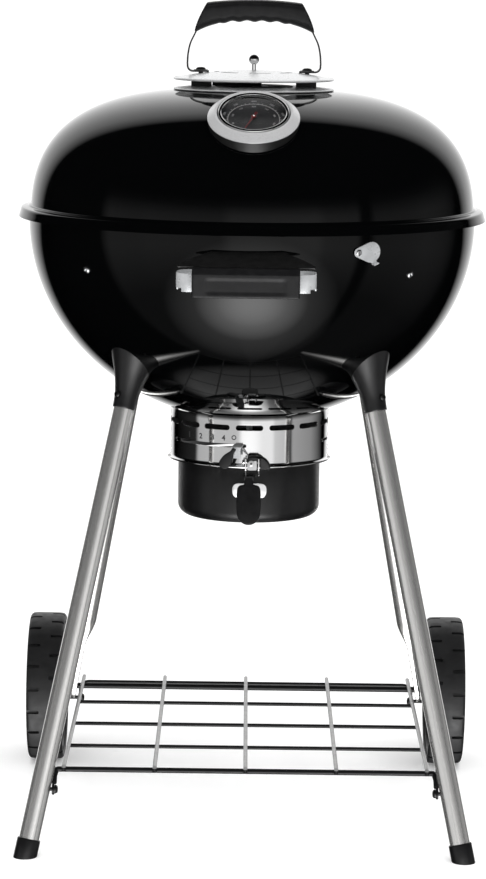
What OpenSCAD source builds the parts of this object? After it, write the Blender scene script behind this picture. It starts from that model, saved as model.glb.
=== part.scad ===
// Kettle charcoal grill: lidded bowl on four legs, with shelf, wheels, air ring and ash pan.
// Millimetres. The ground is z = 0, the front is -Y and the bowl's axis is the Z axis.

/* [Bowl] */
// Outside radius of the bowl at its widest
bowl_r = 286.5; // [284:0.5:287]
// Height of the bowl's widest level above the ground
bowl_z = 775; // [770:1:775]
// Depth of the bowl below its widest level
bowl_depth = 260; // [256:1:262]
// Thickness of the enamelled steel
sheet_t = 1.6; // [1.2:0.1:2]

/* [Lid] */
// Outside radius of the lid wall above its lip
lid_r = 285; // [284:0.5:286]
// Outside radius of the lid's lip
lip_r = 300; // [299:0.5:301]
// Height of the top of the lid
lid_top_z = 941; // [938:1:942]
// Width of the lid handle's grip at its lower edge
lid_grip_w = 156; // [150:2:160]
// Height of the top of the lid handle
handle_top_z = 1054; // [1050:1:1058]

/* [Thermometer] */
// Outside diameter of the bezel
bezel_d = 113; // [108:1:114]
// Diameter of the dial
dial_d = 77; // [70:1:78]
// Tilt of the dial back from level
dial_tilt = 30; // [28:1:32]

/* [Legs and shelf] */
// Diameter of the leg tubes
leg_d = 25.4; // [24:0.2:26]
// Distance of each front foot from the middle, both ways
foot_xy = 272; // [266:1:276]
// Height of the shelf's cross rods
shelf_z = 104.3; // [104:0.1:105]

/* [Wheels] */
// Diameter of the wheels
wheel_d = 203; // [200:1:204]
// Width of the wheels
wheel_w = 48.5; // [46:0.5:50]
// Distance between the wheels' outer faces
track_w = 599; // [596:1:600]
// Diameter of the axle
axle_d = 8; // [8:1:8]

/* [Air ring and ash pan] */
// Outside radius of the air ring
ring_r = 103; // [101:0.5:104]
// Number of air slots around the ring
ring_slots = 15; // [12:1:16]
// Outside radius of the ash pan
pan_r = 92; // [90:0.5:93]
// Height of the ash pan
pan_h = 74; // [60:1:80]

/* [Hidden] */
$fn = 72;
lid_base_z = 765;
crown_p = 3.1;
crown_q = 2.7;
crease_z = 792;
rim_bead_r = 4;
rim_bead = [bowl_r + 2.5, bowl_z + 7.6];
plate_z = lid_top_z + 0.6;
shield_r = 103;
shield_z = 953.5;
shield_rise = 10.3;
handle_bolt_x = 68;
gauge_pos = [0, -215, 913];
socket_xy = 147.5;
socket_z = 597;
axle_y = 241;
axle_z = wheel_d / 2;
tab_x = 238;
leg_top_z = 580;
ring_top_z = 531;
ring_low_z = 465;
lever_z = 493;
lever_angle = -8;
pan_top_z = ring_low_z - 0.8;
grate_z = 745;
coal_z = 613;
front_y = -342.5;
latch_pin = [-114, 474];
damper_offset = 20;
port_angle = 30.3;
port_z = 755;
port_reach = 18;
bowl_turn = -1.2;
running_gap = 0.05;

// ---- Shared shapes ----

function unit(v) = v / norm(v);
function mix(a, b, t) = a + (b - a) * t;

// Points along an arc from angle a0 to a1
function arc(c, r, a0, a1, n) = [for (i = [0:n]) c + r * [cos(mix(a0, a1, i / n)), sin(mix(a0, a1, i / n))]];

// Outline of a strip of thickness t that follows the points p
function side_of(p, i) = let(d = unit(p[min(i + 1, len(p) - 1)] - p[max(i - 1, 0)])) [-d[1], d[0]];
function edge(p, t) = [for (i = [0:len(p) - 1]) p[i] + side_of(p, i) * t];
function back(p) = [for (i = [len(p) - 1:-1:0]) p[i]];
function ribbon(p, t) = concat(edge(p, t / 2), back(edge(p, -t / 2)));

// Lower quarter of the bowl, from its widest level to the axis, drawn in by gap
function bowl_curve(gap) = [for (i = [0:20])
    [(bowl_r - gap) * cos(i * 4.5), bowl_z - (bowl_depth - gap) * sin(i * 4.5)]];
function bowl_radius(z) = bowl_r * sqrt(1 - pow((bowl_z - z) / bowl_depth, 2));
function bowl_slope(z) = atan2((z - bowl_z) / pow(bowl_depth, 2), bowl_radius(z) / pow(bowl_r, 2));

// Crown of the lid, from the crease above the lip to the axis, drawn in by gap
crown_h = lid_top_z + 0.8 - lid_base_z;
crown_a0 = asin(pow((crease_z - lid_base_z) / crown_h, crown_q / 2));
function crown_curve(gap) = [for (i = [0:24]) let(a = mix(crown_a0, 90, i / 24))
    [(lid_r - gap) * pow(cos(a), 2 / crown_p), lid_base_z + (crown_h - gap) * pow(sin(a), 2 / crown_q)]];

// Height of the heat shield's middle surface at radius r
function shield_top(r) = shield_z + shield_rise * (1 - pow(r / shield_r, 2));

// Places a part with its own +Z along the line from a to b
module aim(a, b) {
    v = b - a;
    translate(a) rotate([0, acos(v[2] / norm(v)), atan2(v[1], v[0])]) children();
}

module rod(a, b, r) {
    aim(a, b) cylinder(h = norm(b - a), r = r);
}

// Bent wire through the points p, rounded at its bends
module wire(p, r) {
    for (i = [0:len(p) - 2]) rod(p[i], p[i + 1], r);
    for (i = [1:len(p) - 2]) translate(p[i]) sphere(r = r * 1.05, $fn = 32);
}

// Places a part on the bowl's outside, its own +Z along the outward normal
module on_bowl(angle, z) {
    rotate([0, 0, angle]) translate([0, -bowl_radius(z), z]) rotate([90 - bowl_slope(z), 0, 0]) children();
}

// Radius of the dial, whose edge lies under the ring
dial_r = dial_d / 2 + 3.8;

module on_gauge() {
    translate(gauge_pos) rotate([dial_tilt, 0, 0]) children();
}

// Places what is fixed to the bowl, which sits slightly turned on its legs
module with_bowl() {
    rotate([0, 0, bowl_turn]) children();
}

module lid_solid() {
    rotate_extrude($fn = 144) polygon(concat([[0, crease_z]], crown_curve(0)));
}

module bowl_solid() {
    rotate_extrude($fn = 144) polygon(concat([[0, bowl_z]], bowl_curve(0)));
}

// Part of a ring from angle a0 to a1, counted from the front towards the right
module ring_sector(r0, r1, z0, z1, a0, a1) {
    rotate([0, 0, a0 - 90]) rotate_extrude(angle = a1 - a0) polygon([[r0, z0], [r1, z0], [r1, z1], [r0, z1]]);
}

module ring_of(r0, r1, z0, z1) {
    rotate_extrude($fn = 144) polygon([[r0, z0], [r1, z0], [r1, z1], [r0, z1]]);
}

// Four openings around the axis, for the lid's vent
module vent_openings(z0, z1) {
    for (i = [0:3]) ring_sector(18, 46, z0, z1, i * 90 + 24, i * 90 + 66);
}

// ---- Lid ----

module lid_shell() {
    lip = [[lid_r + 1.2, crease_z - 1.3], [lid_r + 2.4, crease_z - 2.6], [lid_r + 4.6, crease_z - 3.2],
        [lip_r - 5, crease_z - 4.2], [lip_r - 3.7, crease_z - 5.4], [lip_r - 0.85, crease_z - 15.4]];
    color("#0c0c0e") difference() {
        rotate_extrude($fn = 144) polygon(concat(back(crown_curve(0)), edge(lip, sheet_t / 2),
            back(edge(lip, -sheet_t / 2)), crown_curve(sheet_t)));
        vent_openings(lid_top_z - 20, lid_top_z + 20);
        for (s = [-1, 1]) translate([s * handle_bolt_x, 0, lid_top_z - 20]) cylinder(h = 40, r = 3.1);
        on_gauge() translate([0, 0, -20]) cylinder(h = 40, r = 6.1);
    }
}

module lid_vent_plate() {
    color("#b9bbbd") difference() {
        rotate_extrude($fn = 144) polygon([[7, plate_z + 0.4], [7, plate_z + 1.9], [82, plate_z + 1.9],
            [shield_r, plate_z - 0.2], [shield_r, plate_z - 1.9], [82, plate_z + 0.4]]);
        vent_openings(plate_z - 5, plate_z + 5);
        for (s = [-1, 1]) translate([s * handle_bolt_x, 0, plate_z - 5]) cylinder(h = 10, r = 3.1);
    }
}

module heat_shield() {
    curve = [for (i = [0:10]) let(r = mix(4.2, shield_r - 2.6, i / 10)) [r, shield_top(r)]];
    color("#c8cacc") difference() {
        rotate_extrude($fn = 144) polygon(concat(edge(curve, 0.6),
            arc([shield_r - 1.6, shield_z], 1.6, 120, -120, 10), back(edge(curve, -0.6))));
        for (i = [0:6]) ring_sector(45, 51, 950, 975, i * 360 / 7 - 56, i * 360 / 7 - 28);
        for (s = [-1, 1]) translate([s * handle_bolt_x, 0, 950]) cylinder(h = 30, r = 3.1);
    }
}

module shield_spacers() {
    spacer_z = plate_z + 2;
    under = [for (i = [0:6]) [mix(40, 95, i / 6), shield_top(mix(40, 95, i / 6)) - 0.8]];
    color("#18181a") difference() {
        for (s = [-1, 1]) translate([s * 67 - 13, -12, spacer_z]) cube([26, 24, 26]);
        rotate_extrude() polygon(concat(under, [[95, 990], [40, 990]]));
        for (s = [-1, 1]) translate([s * handle_bolt_x, 0, spacer_z - 1]) cylinder(h = 30, r = 3.1);
    }
}

// Middle line of the handle strap's right half, in X and Z
strap_foot_z = shield_z + 9.1;
strap_path = concat([[57.6, strap_foot_z], [78, strap_foot_z]], arc([78, strap_foot_z + 7], 7, -60, 5, 5),
    [[84.4, 985], [81.6, 998], [76, 1010], [66, 1032]]);

module strap_half() {
    translate([0, 12, 0]) rotate([90, 0, 0]) linear_extrude(24) polygon(ribbon(strap_path, 2));
}

module lid_handle_strap() {
    color("#1a1a1c") difference() {
        for (s = [0, 1]) mirror([s, 0, 0]) strap_half();
        for (s = [-1, 1]) translate([s * handle_bolt_x, 0, strap_foot_z - 5]) cylinder(h = 10, r = 3.1);
    }
}

module lid_handle_grip() {
    half = lid_grip_w / 2;
    low_z = handle_top_z - 43;
    top = arc([0, handle_top_z - 470], 470, 82.6, 97.4, 10);
    wave = [for (i = [0:48]) let(x = mix(-half, half, i / 48))
        [x, low_z + 15.4 * (1 - pow(abs(x) / half, 3)) - cos(min(abs(x), 48) * 360 / 19.2)]];
    color("#1c1c1e") difference() {
        translate([0, 15, 0]) rotate([90, 0, 0]) linear_extrude(30) polygon(concat(
            arc([half - 19, handle_top_z - 20.4], 17, 0, 60, 4), top,
            arc([19 - half, handle_top_z - 20.4], 17, 120, 180, 4), wave));
        for (s = [0, 1]) mirror([s, 0, 0]) strap_half();
    }
}

module handle_bolts() {
    color("#151517") for (s = [-1, 1]) translate([s * handle_bolt_x, 0, 0]) {
        translate([0, 0, lid_top_z - 12]) cylinder(h = strap_foot_z + 3 - lid_top_z + 12, r = 3);
        translate([0, 0, strap_foot_z + 1.1]) cylinder(h = 4, r = 6.5);
        translate([0, 0, lid_top_z - 11]) cylinder(h = 5, r = 6, $fn = 6);
    }
}

// ---- Thermometer ----

module thermometer_bezel() {
    r = bezel_d / 2;
    color("#a9abad") difference() {
        on_gauge() rotate_extrude($fn = 144) polygon([[r - 9.5, 8], [r - 8.5, 9.6], [r - 6.5, 9.6],
            [r - 3.5, 6], [r, -1], [r, -2.6], [r - 9.5, -2.6]]);
        lid_solid();
    }
}

module thermometer_case() {
    r = bezel_d / 2;
    color("#121214") difference() {
        on_gauge() rotate_extrude($fn = 144) polygon([[0, -17], [r - 0.7, -17], [r - 0.7, -2.65],
            [r - 9.7, -2.65], [r - 9.7, 5], [dial_r + 0.2, 5], [dial_r + 0.2, -0.95], [0, -0.95]]);
        lid_solid();
    }
}

module thermometer_ring() {
    r = dial_d / 2;
    color("#d4d6d8") on_gauge() rotate_extrude($fn = 144) polygon([[r + 0.3, 5.1], [r + 5.5, 5.1],
        [r + 5.5, 9], [r + 4, 11], [r + 2, 11], [r + 0.3, 9.4]]);
}

module thermometer_dial() {
    color("#3a3b3e") on_gauge() union() {
        translate([0, 0, -0.9]) cylinder(h = 0.9, r = dial_r);
        translate([0, 0, -0.5]) cylinder(h = 5.7, r = 1);
    }
}

module thermometer_lens() {
    color([0.85, 0.9, 0.95, 0.35]) on_gauge() translate([0, 0, 9]) cylinder(h = 1, r = dial_d / 2 + 0.1);
}

module thermometer_probe() {
    color("#b0b2b4") on_gauge() union() {
        translate([0, 0, -14]) cylinder(h = 9.5, r = 6);
        translate([0, 0, -12]) cylinder(h = 5, r = 10, $fn = 6);
        translate([0, 0, -72]) cylinder(h = 60, r = 2.5);
    }
}

module thermometer_needle() {
    color("#8e1c1c") on_gauge() rotate([0, 0, 158]) difference() {
        union() {
            translate([0, 0, 3.4]) cylinder(h = 1.4, r = 3.2);
            translate([0, 0, 3.4]) linear_extrude(0.7)
                polygon([[-1.6, -9], [1.6, -9], [0.5, 27], [-0.5, 27]]);
        }
        translate([0, 0, 2]) cylinder(h = 4, r = 1 + running_gap);
    }
}

// ---- Lid damper ----

module vent_damper() {
    disc_z = plate_z + 2.3;
    color("#2a2a2c") difference() {
        union() {
            translate([0, 0, disc_z]) cylinder(h = 1.2, r = 50);
            translate([0, 0, disc_z]) cylinder(h = 12.5, r = 10);
            translate([-53, -4, disc_z]) cube([51, 8, 12]);
            translate([0, 0, lid_top_z + 1.3]) cylinder(h = 33, r = 2.75);
        }
        rotate([0, 0, damper_offset]) vent_openings(disc_z - 1, disc_z + 1.9);
    }
}

module damper_knob() {
    color("#c9cbcd") translate([0, 0, 978]) difference() {
        sphere(r = 6.75);
        translate([0, 0, -8]) cylinder(h = 5.6, r = 2.8);
    }
}

// ---- Bowl and what is fixed to it ----

module bowl_shell() {
    color("#0c0c0e") difference() {
        rotate_extrude($fn = 144) polygon(concat(back(bowl_curve(0)),
            arc(rim_bead, rim_bead_r, -128, 178, 16),
            bowl_curve(sheet_t)));
        for (i = [0:2]) ring_sector(34, 84, 500, 545, i * 120 + 40, i * 120 + 80);
        translate([0, 0, 500]) cylinder(h = 40, r = 4 + running_gap);
        on_bowl(port_angle, port_z) {
            translate([0, 0, -6]) cylinder(h = 12, r = 8);
            translate([-port_reach, 0, -6]) cylinder(h = 12, r = 2.05);
        }
        with_bowl() {
            for (a = [45:90:315]) on_bowl(a, 724) translate([0, 0, -6]) cylinder(h = 12, r = 2.55);
            for (s = [-1, 1]) on_bowl(s * 12.4, 723) translate([0, 0, -6]) cylinder(h = 12, r = 2.55);
        }
    }
}

// Leg ends: sx is -1 on the left and 1 on the right, sy is -1 at the front and 1 at the rear
function leg_low(sx, sy) = sy < 0 ? [sx * foot_xy, -foot_xy, 0] : [sx * tab_x, axle_y, axle_z];
function leg_high(sx, sy) = [sx * socket_xy, sy * socket_xy, socket_z];
function leg_at(sx, sy, z) = mix(leg_low(sx, sy), leg_high(sx, sy),
    (z - leg_low(sx, sy)[2]) / (socket_z - leg_low(sx, sy)[2]));

module leg_socket(sx, sy) {
    color("#1b1b1d") difference() {
        aim(leg_at(sx, sy, 547), leg_high(sx, sy)) rotate_extrude() polygon([[0, 0], [14.2, 0], [14.6, 12],
            [17, 26], [22, 44], [30, 66], [30, 110], [0, 110]]);
        aim(leg_low(sx, sy), leg_high(sx, sy)) cylinder(h = 700, r = leg_d / 2 + 0.02);
        bowl_solid();
        translate([0, 0, bowl_z - 148]) cylinder(h = 200, r = 320);
        aim(leg_at(sx, sy, 562), leg_high(sx, sy)) rotate([0, -90, 0]) cylinder(h = 30, r = 2.5);
    }
}

module socket_screws() {
    color("#2b2b2d") for (sx = [-1, 1], sy = [-1, 1])
        aim(leg_at(sx, sy, 562), leg_high(sx, sy)) rotate([0, -90, 0]) {
        translate([0, 0, 8]) cylinder(h = 9, r = 2.45);
        translate([0, 0, 16.2]) cylinder(h = 2.6, r = 4.5);
    }
}

module leg_tube(sx, sy, from_z) {
    difference() {
        aim(leg_at(sx, sy, from_z), leg_high(sx, sy)) difference() {
            length = norm(leg_at(sx, sy, leg_top_z) - leg_at(sx, sy, from_z));
            translate([0, 0, sy < 0 ? -20 : 0]) cylinder(h = length + (sy < 0 ? 20 : 0), r = leg_d / 2);
            translate([0, 0, -30]) cylinder(h = length + 60, r = leg_d / 2 - 1.5);
        }
        aim(leg_at(sx, sy, 562), leg_high(sx, sy)) rotate([0, -90, 0]) cylinder(h = 30, r = 2.5);
    }
}

module leg_front(sx) {
    color("#b4b6b8") difference() {
        leg_tube(sx, -1, 4);
        translate([sx * foot_xy - 60, -foot_xy - 60, -46]) cube([120, 120, 50]);
        translate([0, leg_at(sx, -1, 82)[1], 82]) rotate([0, sx * 90, 0]) cylinder(h = 262, r = 3);
    }
}

module leg_rear(sx) {
    tall = socket_z - axle_z;
    lean = [atan((axle_y - socket_xy) / tall), -sx * atan((tab_x - socket_xy) / tall), 0];
    color("#b4b6b8") difference() {
        union() {
            leg_tube(sx, 1, 202);
            hull() {
                aim(leg_at(sx, 1, 200), leg_high(sx, 1)) cylinder(h = 5, r = leg_d / 2 + 0.3, $fn = 32);
                translate(leg_low(sx, 1)) rotate(lean) translate([-3.8, -13.8, 68]) cube([7.6, 27.6, 2]);
            }
            translate(leg_low(sx, 1)) rotate(lean) {
                translate([-3.5, -13.5, -18]) cube([7, 27, 92]);
                translate([-3.5, 0, -18]) rotate([0, 90, 0]) cylinder(h = 7, r = 13.5);
            }
        }
        translate([sx * 200, axle_y, axle_z]) rotate([0, sx * 90, 0])
            cylinder(h = 80, r = axle_d / 2 + running_gap);
        translate([sx * 215, axle_y + 3, 84]) rotate([0, sx * 90, 0]) cylinder(h = 50, r = 3);
    }
}

module foot_cap(sx) {
    color("#141416") difference() {
        aim([sx * foot_xy, -foot_xy, 0], leg_high(sx, -1)) translate([0, 0, -10])
            cylinder(h = 33, r = leg_d / 2 + 1.8);
        translate([sx * foot_xy - 50, -foot_xy - 50, -60]) cube([100, 100, 60]);
        intersection() {
            aim([sx * foot_xy, -foot_xy, 0], leg_high(sx, -1)) cylinder(h = 60, r = leg_d / 2 + 0.02);
            translate([sx * foot_xy - 50, -foot_xy - 50, 4]) cube([100, 100, 60]);
        }
    }
}

module grate_brackets() {
    color("#8c8e90") with_bowl() for (a = [45:90:315]) rotate([0, 0, a]) difference() {
        translate([-9, 0, 0]) rotate([90, 0, 90]) linear_extrude(18)
            polygon(ribbon([[-263, grate_z - 4.3], [-274, grate_z - 4.3], [-274, grate_z - 12],
                [-277, 720], [-276, 714]], 1.6));
        translate([0, -260, 725.1]) rotate([90, 0, 0]) cylinder(h = 30, r = 3.2);
    }
}

module bracket_screws() {
    color("#c2c4c6") with_bowl() for (a = [45:90:315]) on_bowl(a, 724) {
        translate([0, 0, -14]) cylinder(h = 16, r = 2.5);
        translate([0, 0, 0.2]) cylinder(h = 2.6, r = 4.6);
        translate([0, 0, -13]) cylinder(h = 4, r = 5, $fn = 6);
    }
}

// ---- Front handle ----

bracket_path = concat([[48, -280.4], [71, -275.4]], arc([83 - 11, -303], 11, 20, -10, 4),
    arc([83 - 14, -317], 14, 0, -90, 6), [[0, -331]]);

module bracket_half() {
    translate([0, 0, 712]) linear_extrude(22) polygon(ribbon(bracket_path, 2));
}

module front_handle_bracket() {
    color("#b6b8ba") with_bowl() difference() {
        for (s = [0, 1]) mirror([s, 0, 0]) bracket_half();
        for (s = [-1, 1]) on_bowl(s * 12.4, 723) translate([0, 0, -4]) cylinder(h = 16, r = 2.6);
    }
}

module front_handle_grip() {
    color("#1c1c1e") with_bowl() difference() {
        translate([-64.5, front_y, 706]) cube([129, 20.5, 35]);
        for (s = [0, 1]) mirror([s, 0, 0]) bracket_half();
    }
}

module front_handle_guard() {
    tilt = atan2(17, 36);
    color("#101012") with_bowl() translate([0, -287.5, 755.6]) rotate([tilt, 0, 0])
        linear_extrude(2) polygon([[-44, 0], [44, 0], [70, -20], [83, -33], [83, -37],
            [-83, -37], [-83, -33], [-70, -20]]);
}

module front_handle_screws() {
    color("#c2c4c6") with_bowl() for (s = [-1, 1]) on_bowl(s * 12.4, 723) {
        translate([0, 0, -9]) cylinder(h = 15, r = 2.5);
        translate([0, 0, 5.3]) cylinder(h = 2.8, r = 4.8);
        translate([0, 0, -9]) cylinder(h = 4, r = 4.5, $fn = 6);
    }
}

// ---- Port cover ----

module port_rivet() {
    color("#9c9ea0") on_bowl(port_angle, port_z) translate([-port_reach, 0, 0]) {
        translate([0, 0, -3]) cylinder(h = 5.6, r = 2);
        translate([0, 0, 2.4]) cylinder(h = 1.6, r = 4);
    }
}

module port_cover() {
    color("#d0d2d4") on_bowl(port_angle, port_z) difference() {
        union() {
            hull() {
                translate([0, 0, 0.4]) cylinder(h = 1.5, r = 12.8);
                translate([-port_reach, 0, 0.4]) cylinder(h = 1.5, r = 6);
            }
            rotate([0, 0, 22]) translate([-3.5, -14.6, 0.4]) cube([7, 5, 1.5]);
            rotate([0, 0, 22]) translate([-3.5, -16, 0.4]) cube([7, 1.5, 6.5]);
        }
        translate([-port_reach, 0, -1]) cylinder(h = 5, r = 2 + running_gap);
    }
}

// ---- Air ring, sweeper and grates ----

module air_ring() {
    pitch = 360 / ring_slots;
    slot_z = 516;
    color("#c4c6c8") difference() {
        rotate_extrude($fn = 144) polygon([[ring_r - 1.4, ring_low_z], [ring_r + 3.4, ring_low_z],
            [ring_r + 3.4, ring_low_z + 3], [ring_r, ring_low_z + 6], [ring_r, ring_top_z],
            [ring_r - 1.4, ring_top_z]]);
        for (i = [0:ring_slots - 1])
            ring_sector(ring_r - 5, ring_r + 5, slot_z - 3.5, slot_z + 3.5, i * pitch - 9.8, i * pitch + 9.8);
        ring_sector(ring_r - 5, ring_r + 5, lever_z - 1.8, lever_z + 1.8,
            lever_angle - 57.5, lever_angle + 4.5);
        ring_sector(ring_r - 5, ring_r + 5, lever_z - 1.8, lever_z + 1.8, 65, 127);
    }
}

module pan_clip() {
    color("#a4a6a8") translate([-8, 0, 0]) rotate([90, 0, 90]) linear_extrude(16)
        polygon(ribbon([[ring_r + 0.8, 500], [ring_r + 0.8, 476], [ring_r + 4.8, 472], [ring_r + 4.8, 462],
            [pan_r + 2.6, 450], [pan_r + 2.6, 440]], 1.2));
}

module sweeper_blades() {
    hub_z = bowl_z - bowl_depth + sheet_t + 1.4;
    curve = [for (i = [8:19]) bowl_curve(sheet_t + 1.7)[i]];
    color("#98999b") union() {
        ring_of(4.1, 25.5, hub_z, hub_z + 3);
        for (i = [0:2]) rotate([0, 0, i * 120 - 90]) {
            rotate([0, 0, -28]) rotate_extrude(angle = 42) polygon(ribbon([for (k = [7:11]) curve[k]], 1.8));
            rotate([0, 0, -3]) rotate_extrude(angle = 14) polygon(ribbon([for (k = [3:8]) curve[k]], 1.8));
        }
    }
}

// Flat arm that turns the sweeper from outside the ring
module sweeper_arm() {
    color("#a6a8aa") union() {
        rotate([0, 0, lever_angle]) {
            translate([-6, -122, lever_z - 1.1]) cube([12, 122, 2.2]);
            translate([-6, -123.6, lever_z - 13]) cube([12, 2, 14.1]);
        }
        translate([0, 0, lever_z - 4]) cylinder(h = 8, r = 11);
        translate([0, 0, lever_z]) cylinder(h = 32, r = 4);
    }
}

module sweeper_grip() {
    color("#171719") rotate([0, 0, lever_angle]) translate([-3, -118.5, lever_z - 4.5])
        rotate([90, 34, 0]) difference() {
        translate([0, 0, 0.6]) linear_extrude(8) polygon(concat([[-3, 2], [-3, -4], [-6.6, -13], [-7, -21]],
            arc([0, -21], 7, 190, 350, 8), [[7, -21], [6.6, -13], [3, -4], [3, 2]]));
        translate([-20, -12, 3.0]) cube([40, 30, 2.2]);
    }
}

// Rod along X or Y at a distance from the axis, cut to a circle of the given reach
module chord_rod_x(y, z, reach, r) {
    half = sqrt(reach * reach - y * y);
    rod([-half, y, z], [half, y, z], r);
}

module chord_rod_y(x, z, reach, r) {
    half = sqrt(reach * reach - x * x);
    rod([x, -half, z], [x, half, z], r);
}

module charcoal_grate() {
    color("#6d6f71") union() {
        for (i = [-8:8]) chord_rod_y(i * 24, coal_z, 214, 3);
        for (y = [-80, 80]) chord_rod_x(y, coal_z - 5.5, 208, 3);
    }
}

module cooking_grate() {
    rim = 268;
    color("#8f9193") union() {
        ring_of(rim - 3, rim + 3, grate_z - 3, grate_z + 3);
        for (i = [-14:14]) chord_rod_y(i * 18, grate_z + 0.5, rim, 2);
        for (y = [-80, 80]) chord_rod_x(y, grate_z - 2.6, rim - 2, 2.9);
        for (s = [-1, 1]) wire([[s * 265, -38, grate_z], [s * 252, -32, grate_z + 26],
            [s * 252, 32, grate_z + 26], [s * 265, 38, grate_z]], 2.8);
    }
}

// ---- Ash pan ----

module ash_pan() {
    low_z = pan_top_z - pan_h;
    color("#1a1a1c") rotate_extrude($fn = 144) polygon(concat([[0, low_z]],
        arc([pan_r - 14, low_z + 14], 14, -90, 0, 6),
        [[pan_r, pan_top_z], [pan_r - 3, pan_top_z], [pan_r - 3, pan_top_z - 2],
            [pan_r - 1.4, pan_top_z - 2]],
        arc([pan_r - 14, low_z + 14], 12.6, 0, -90, 6), [[0, low_z + 1.4]]));
}

module pan_handle() {
    color("#161618") union() {
        translate([0, -101, 452]) rotate([-13, 0, 0]) translate([0, 4.5, 0]) rotate([90, 0, 0])
            linear_extrude(9) polygon(concat([[-7.3, 2], [-7.3, -6], [-14.5, -10], [-15.5, -44]],
            arc([0, -44], 15.5, 180, 360, 12),
                [[15.5, -44], [14.5, -10], [7.3, -6], [7.3, 2]]));
        translate([-7.3, -106, 449]) cube([14.6, 13.9, 6.3]);
    }
}

module pan_handle_plate() {
    color("#c8cacc") translate([0.8, -96, 435]) rotate([90, 0, 0]) linear_extrude(1.6) union() {
        square([26, 19], center = true);
        for (s = [-1, 1]) translate([s * 12, 0]) intersection() {
            circle(r = 10);
            square([24, 19], center = true);
        }
    }
}

module latch_bracket() {
    ear = [[-93.4, 463.9], [-107.6, 463.9], [-107.6, 480], [-118, 480], [-118, 464],
        [-108, 455.6], [-93.4, 455.6]];
    color("#c4c6c8") union() {
        for (x = [-5.2, 11.2]) translate([x, 0, 0]) rotate([90, 0, 90]) difference() {
            linear_extrude(1.8) polygon(ear);
            translate([latch_pin[0], latch_pin[1], -1]) cylinder(h = 4, r = 2);
        }
        translate([-7, latch_pin[0], latch_pin[1]]) rotate([0, 90, 0]) cylinder(h = 22, r = 2);
    }
}

module pan_latch() {
    hood = concat([[-2.6, 466], [9.8, 466]], [[13.8, 466], [27, 466]], arc([11, 466], 16.5, 12, 90, 8),
        arc([2, 478], 4.5, 90, 180, 4));
    color("#202022") difference() {
        translate([0, -110, 0]) rotate([90, 0, 0]) linear_extrude(12) polygon(hood);
        translate([10.6, -130, 460]) cube([3.2, 30, 21]);
        translate([-10, latch_pin[0], latch_pin[1]]) rotate([0, 90, 0])
            cylinder(h = 25.4, r = 2 + running_gap);
    }
}

module latch_wire() {
    color("#5a5c5e") wire([[0, -109.1, 479.5], [-3, -109.1, 483], [-8.5, -109.1, 489.5]], 0.8);
}

// ---- Wheels, axle and shelf ----

// Places a shape on the axle line, x mm out to the side sx, growing outwards
module on_axle(sx, x) {
    mirror([sx < 0 ? 1 : 0, 0, 0]) translate([x, axle_y, axle_z]) rotate([0, 90, 0]) children();
}

module wheel(sx) {
    inner_x = track_w / 2 - wheel_w;
    color("#161618") on_axle(sx, inner_x) difference() {
        union() {
            rotate_extrude($fn = 96) polygon([[0, 0], [14, 0], [14, 22], [80, 17], [84, 3], [90, 3], [90, 45],
                [84, 45], [80, 24], [26, 27], [26, 46], [22.6, 46], [22.6, 38.5], [0, 38.5]]);
            for (i = [0:7]) rotate([0, 0, i * 45]) translate([10, -2, 6]) cube([75, 4, 14]);
        }
        translate([0, 0, -1]) cylinder(h = 60, r = axle_d / 2 + running_gap);
    }
}

module tyre(sx) {
    inner_x = track_w / 2 - wheel_w;
    r = wheel_d / 2;
    lugs = 20;
    color("#1b1b1d") on_axle(sx, inner_x) difference() {
        rotate_extrude($fn = 96) polygon([[90.1, 1.5], [r - 5, 0], [r - 1.5, 2], [r, 5], [r, wheel_w - 5],
            [r - 1.5, wheel_w - 2], [r - 5, wheel_w], [90.1, wheel_w - 1.5]]);
        for (i = [0:lugs - 1], row = [0, 1]) rotate([0, 0, (i + row / 2) * 360 / lugs])
            translate([r - 4, -3, row == 0 ? -1 : wheel_w / 2 + 2]) cube([8, 6, wheel_w / 2 - 1]);
    }
}

module hub_cap(sx) {
    outer_x = track_w / 2;
    color("#242426") on_axle(sx, outer_x - 5)
        rotate_extrude() polygon([[0, 0.6], [22.5, 0.6], [22.5, 2], [19, 4.2], [0, 4.9]]);
}

module axle() {
    end_x = track_w / 2 - 6.5;
    color("#9a9c9e") translate([-end_x, axle_y, axle_z]) rotate([0, 90, 0])
        cylinder(h = 2 * end_x, r = axle_d / 2);
}

module axle_nuts() {
    inner_x = track_w / 2 - wheel_w;
    color("#88898b") for (s = [-1, 1]) on_axle(s, inner_x) difference() {
        union() {
            translate([0, 0, -7.5]) cylinder(h = 7, r = 8);
            translate([0, 0, 39]) cylinder(h = 2, r = 9);
        }
        translate([0, 0, -10]) cylinder(h = 60, r = axle_d / 2);
    }
}

module shelf_eye(p, toward) {
    translate(p) rotate([0, toward * 90, 0]) difference() {
        cylinder(h = 3, r = 7);
        translate([0, 0, -1]) cylinder(h = 5, r = 3.05);
    }
}

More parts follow.
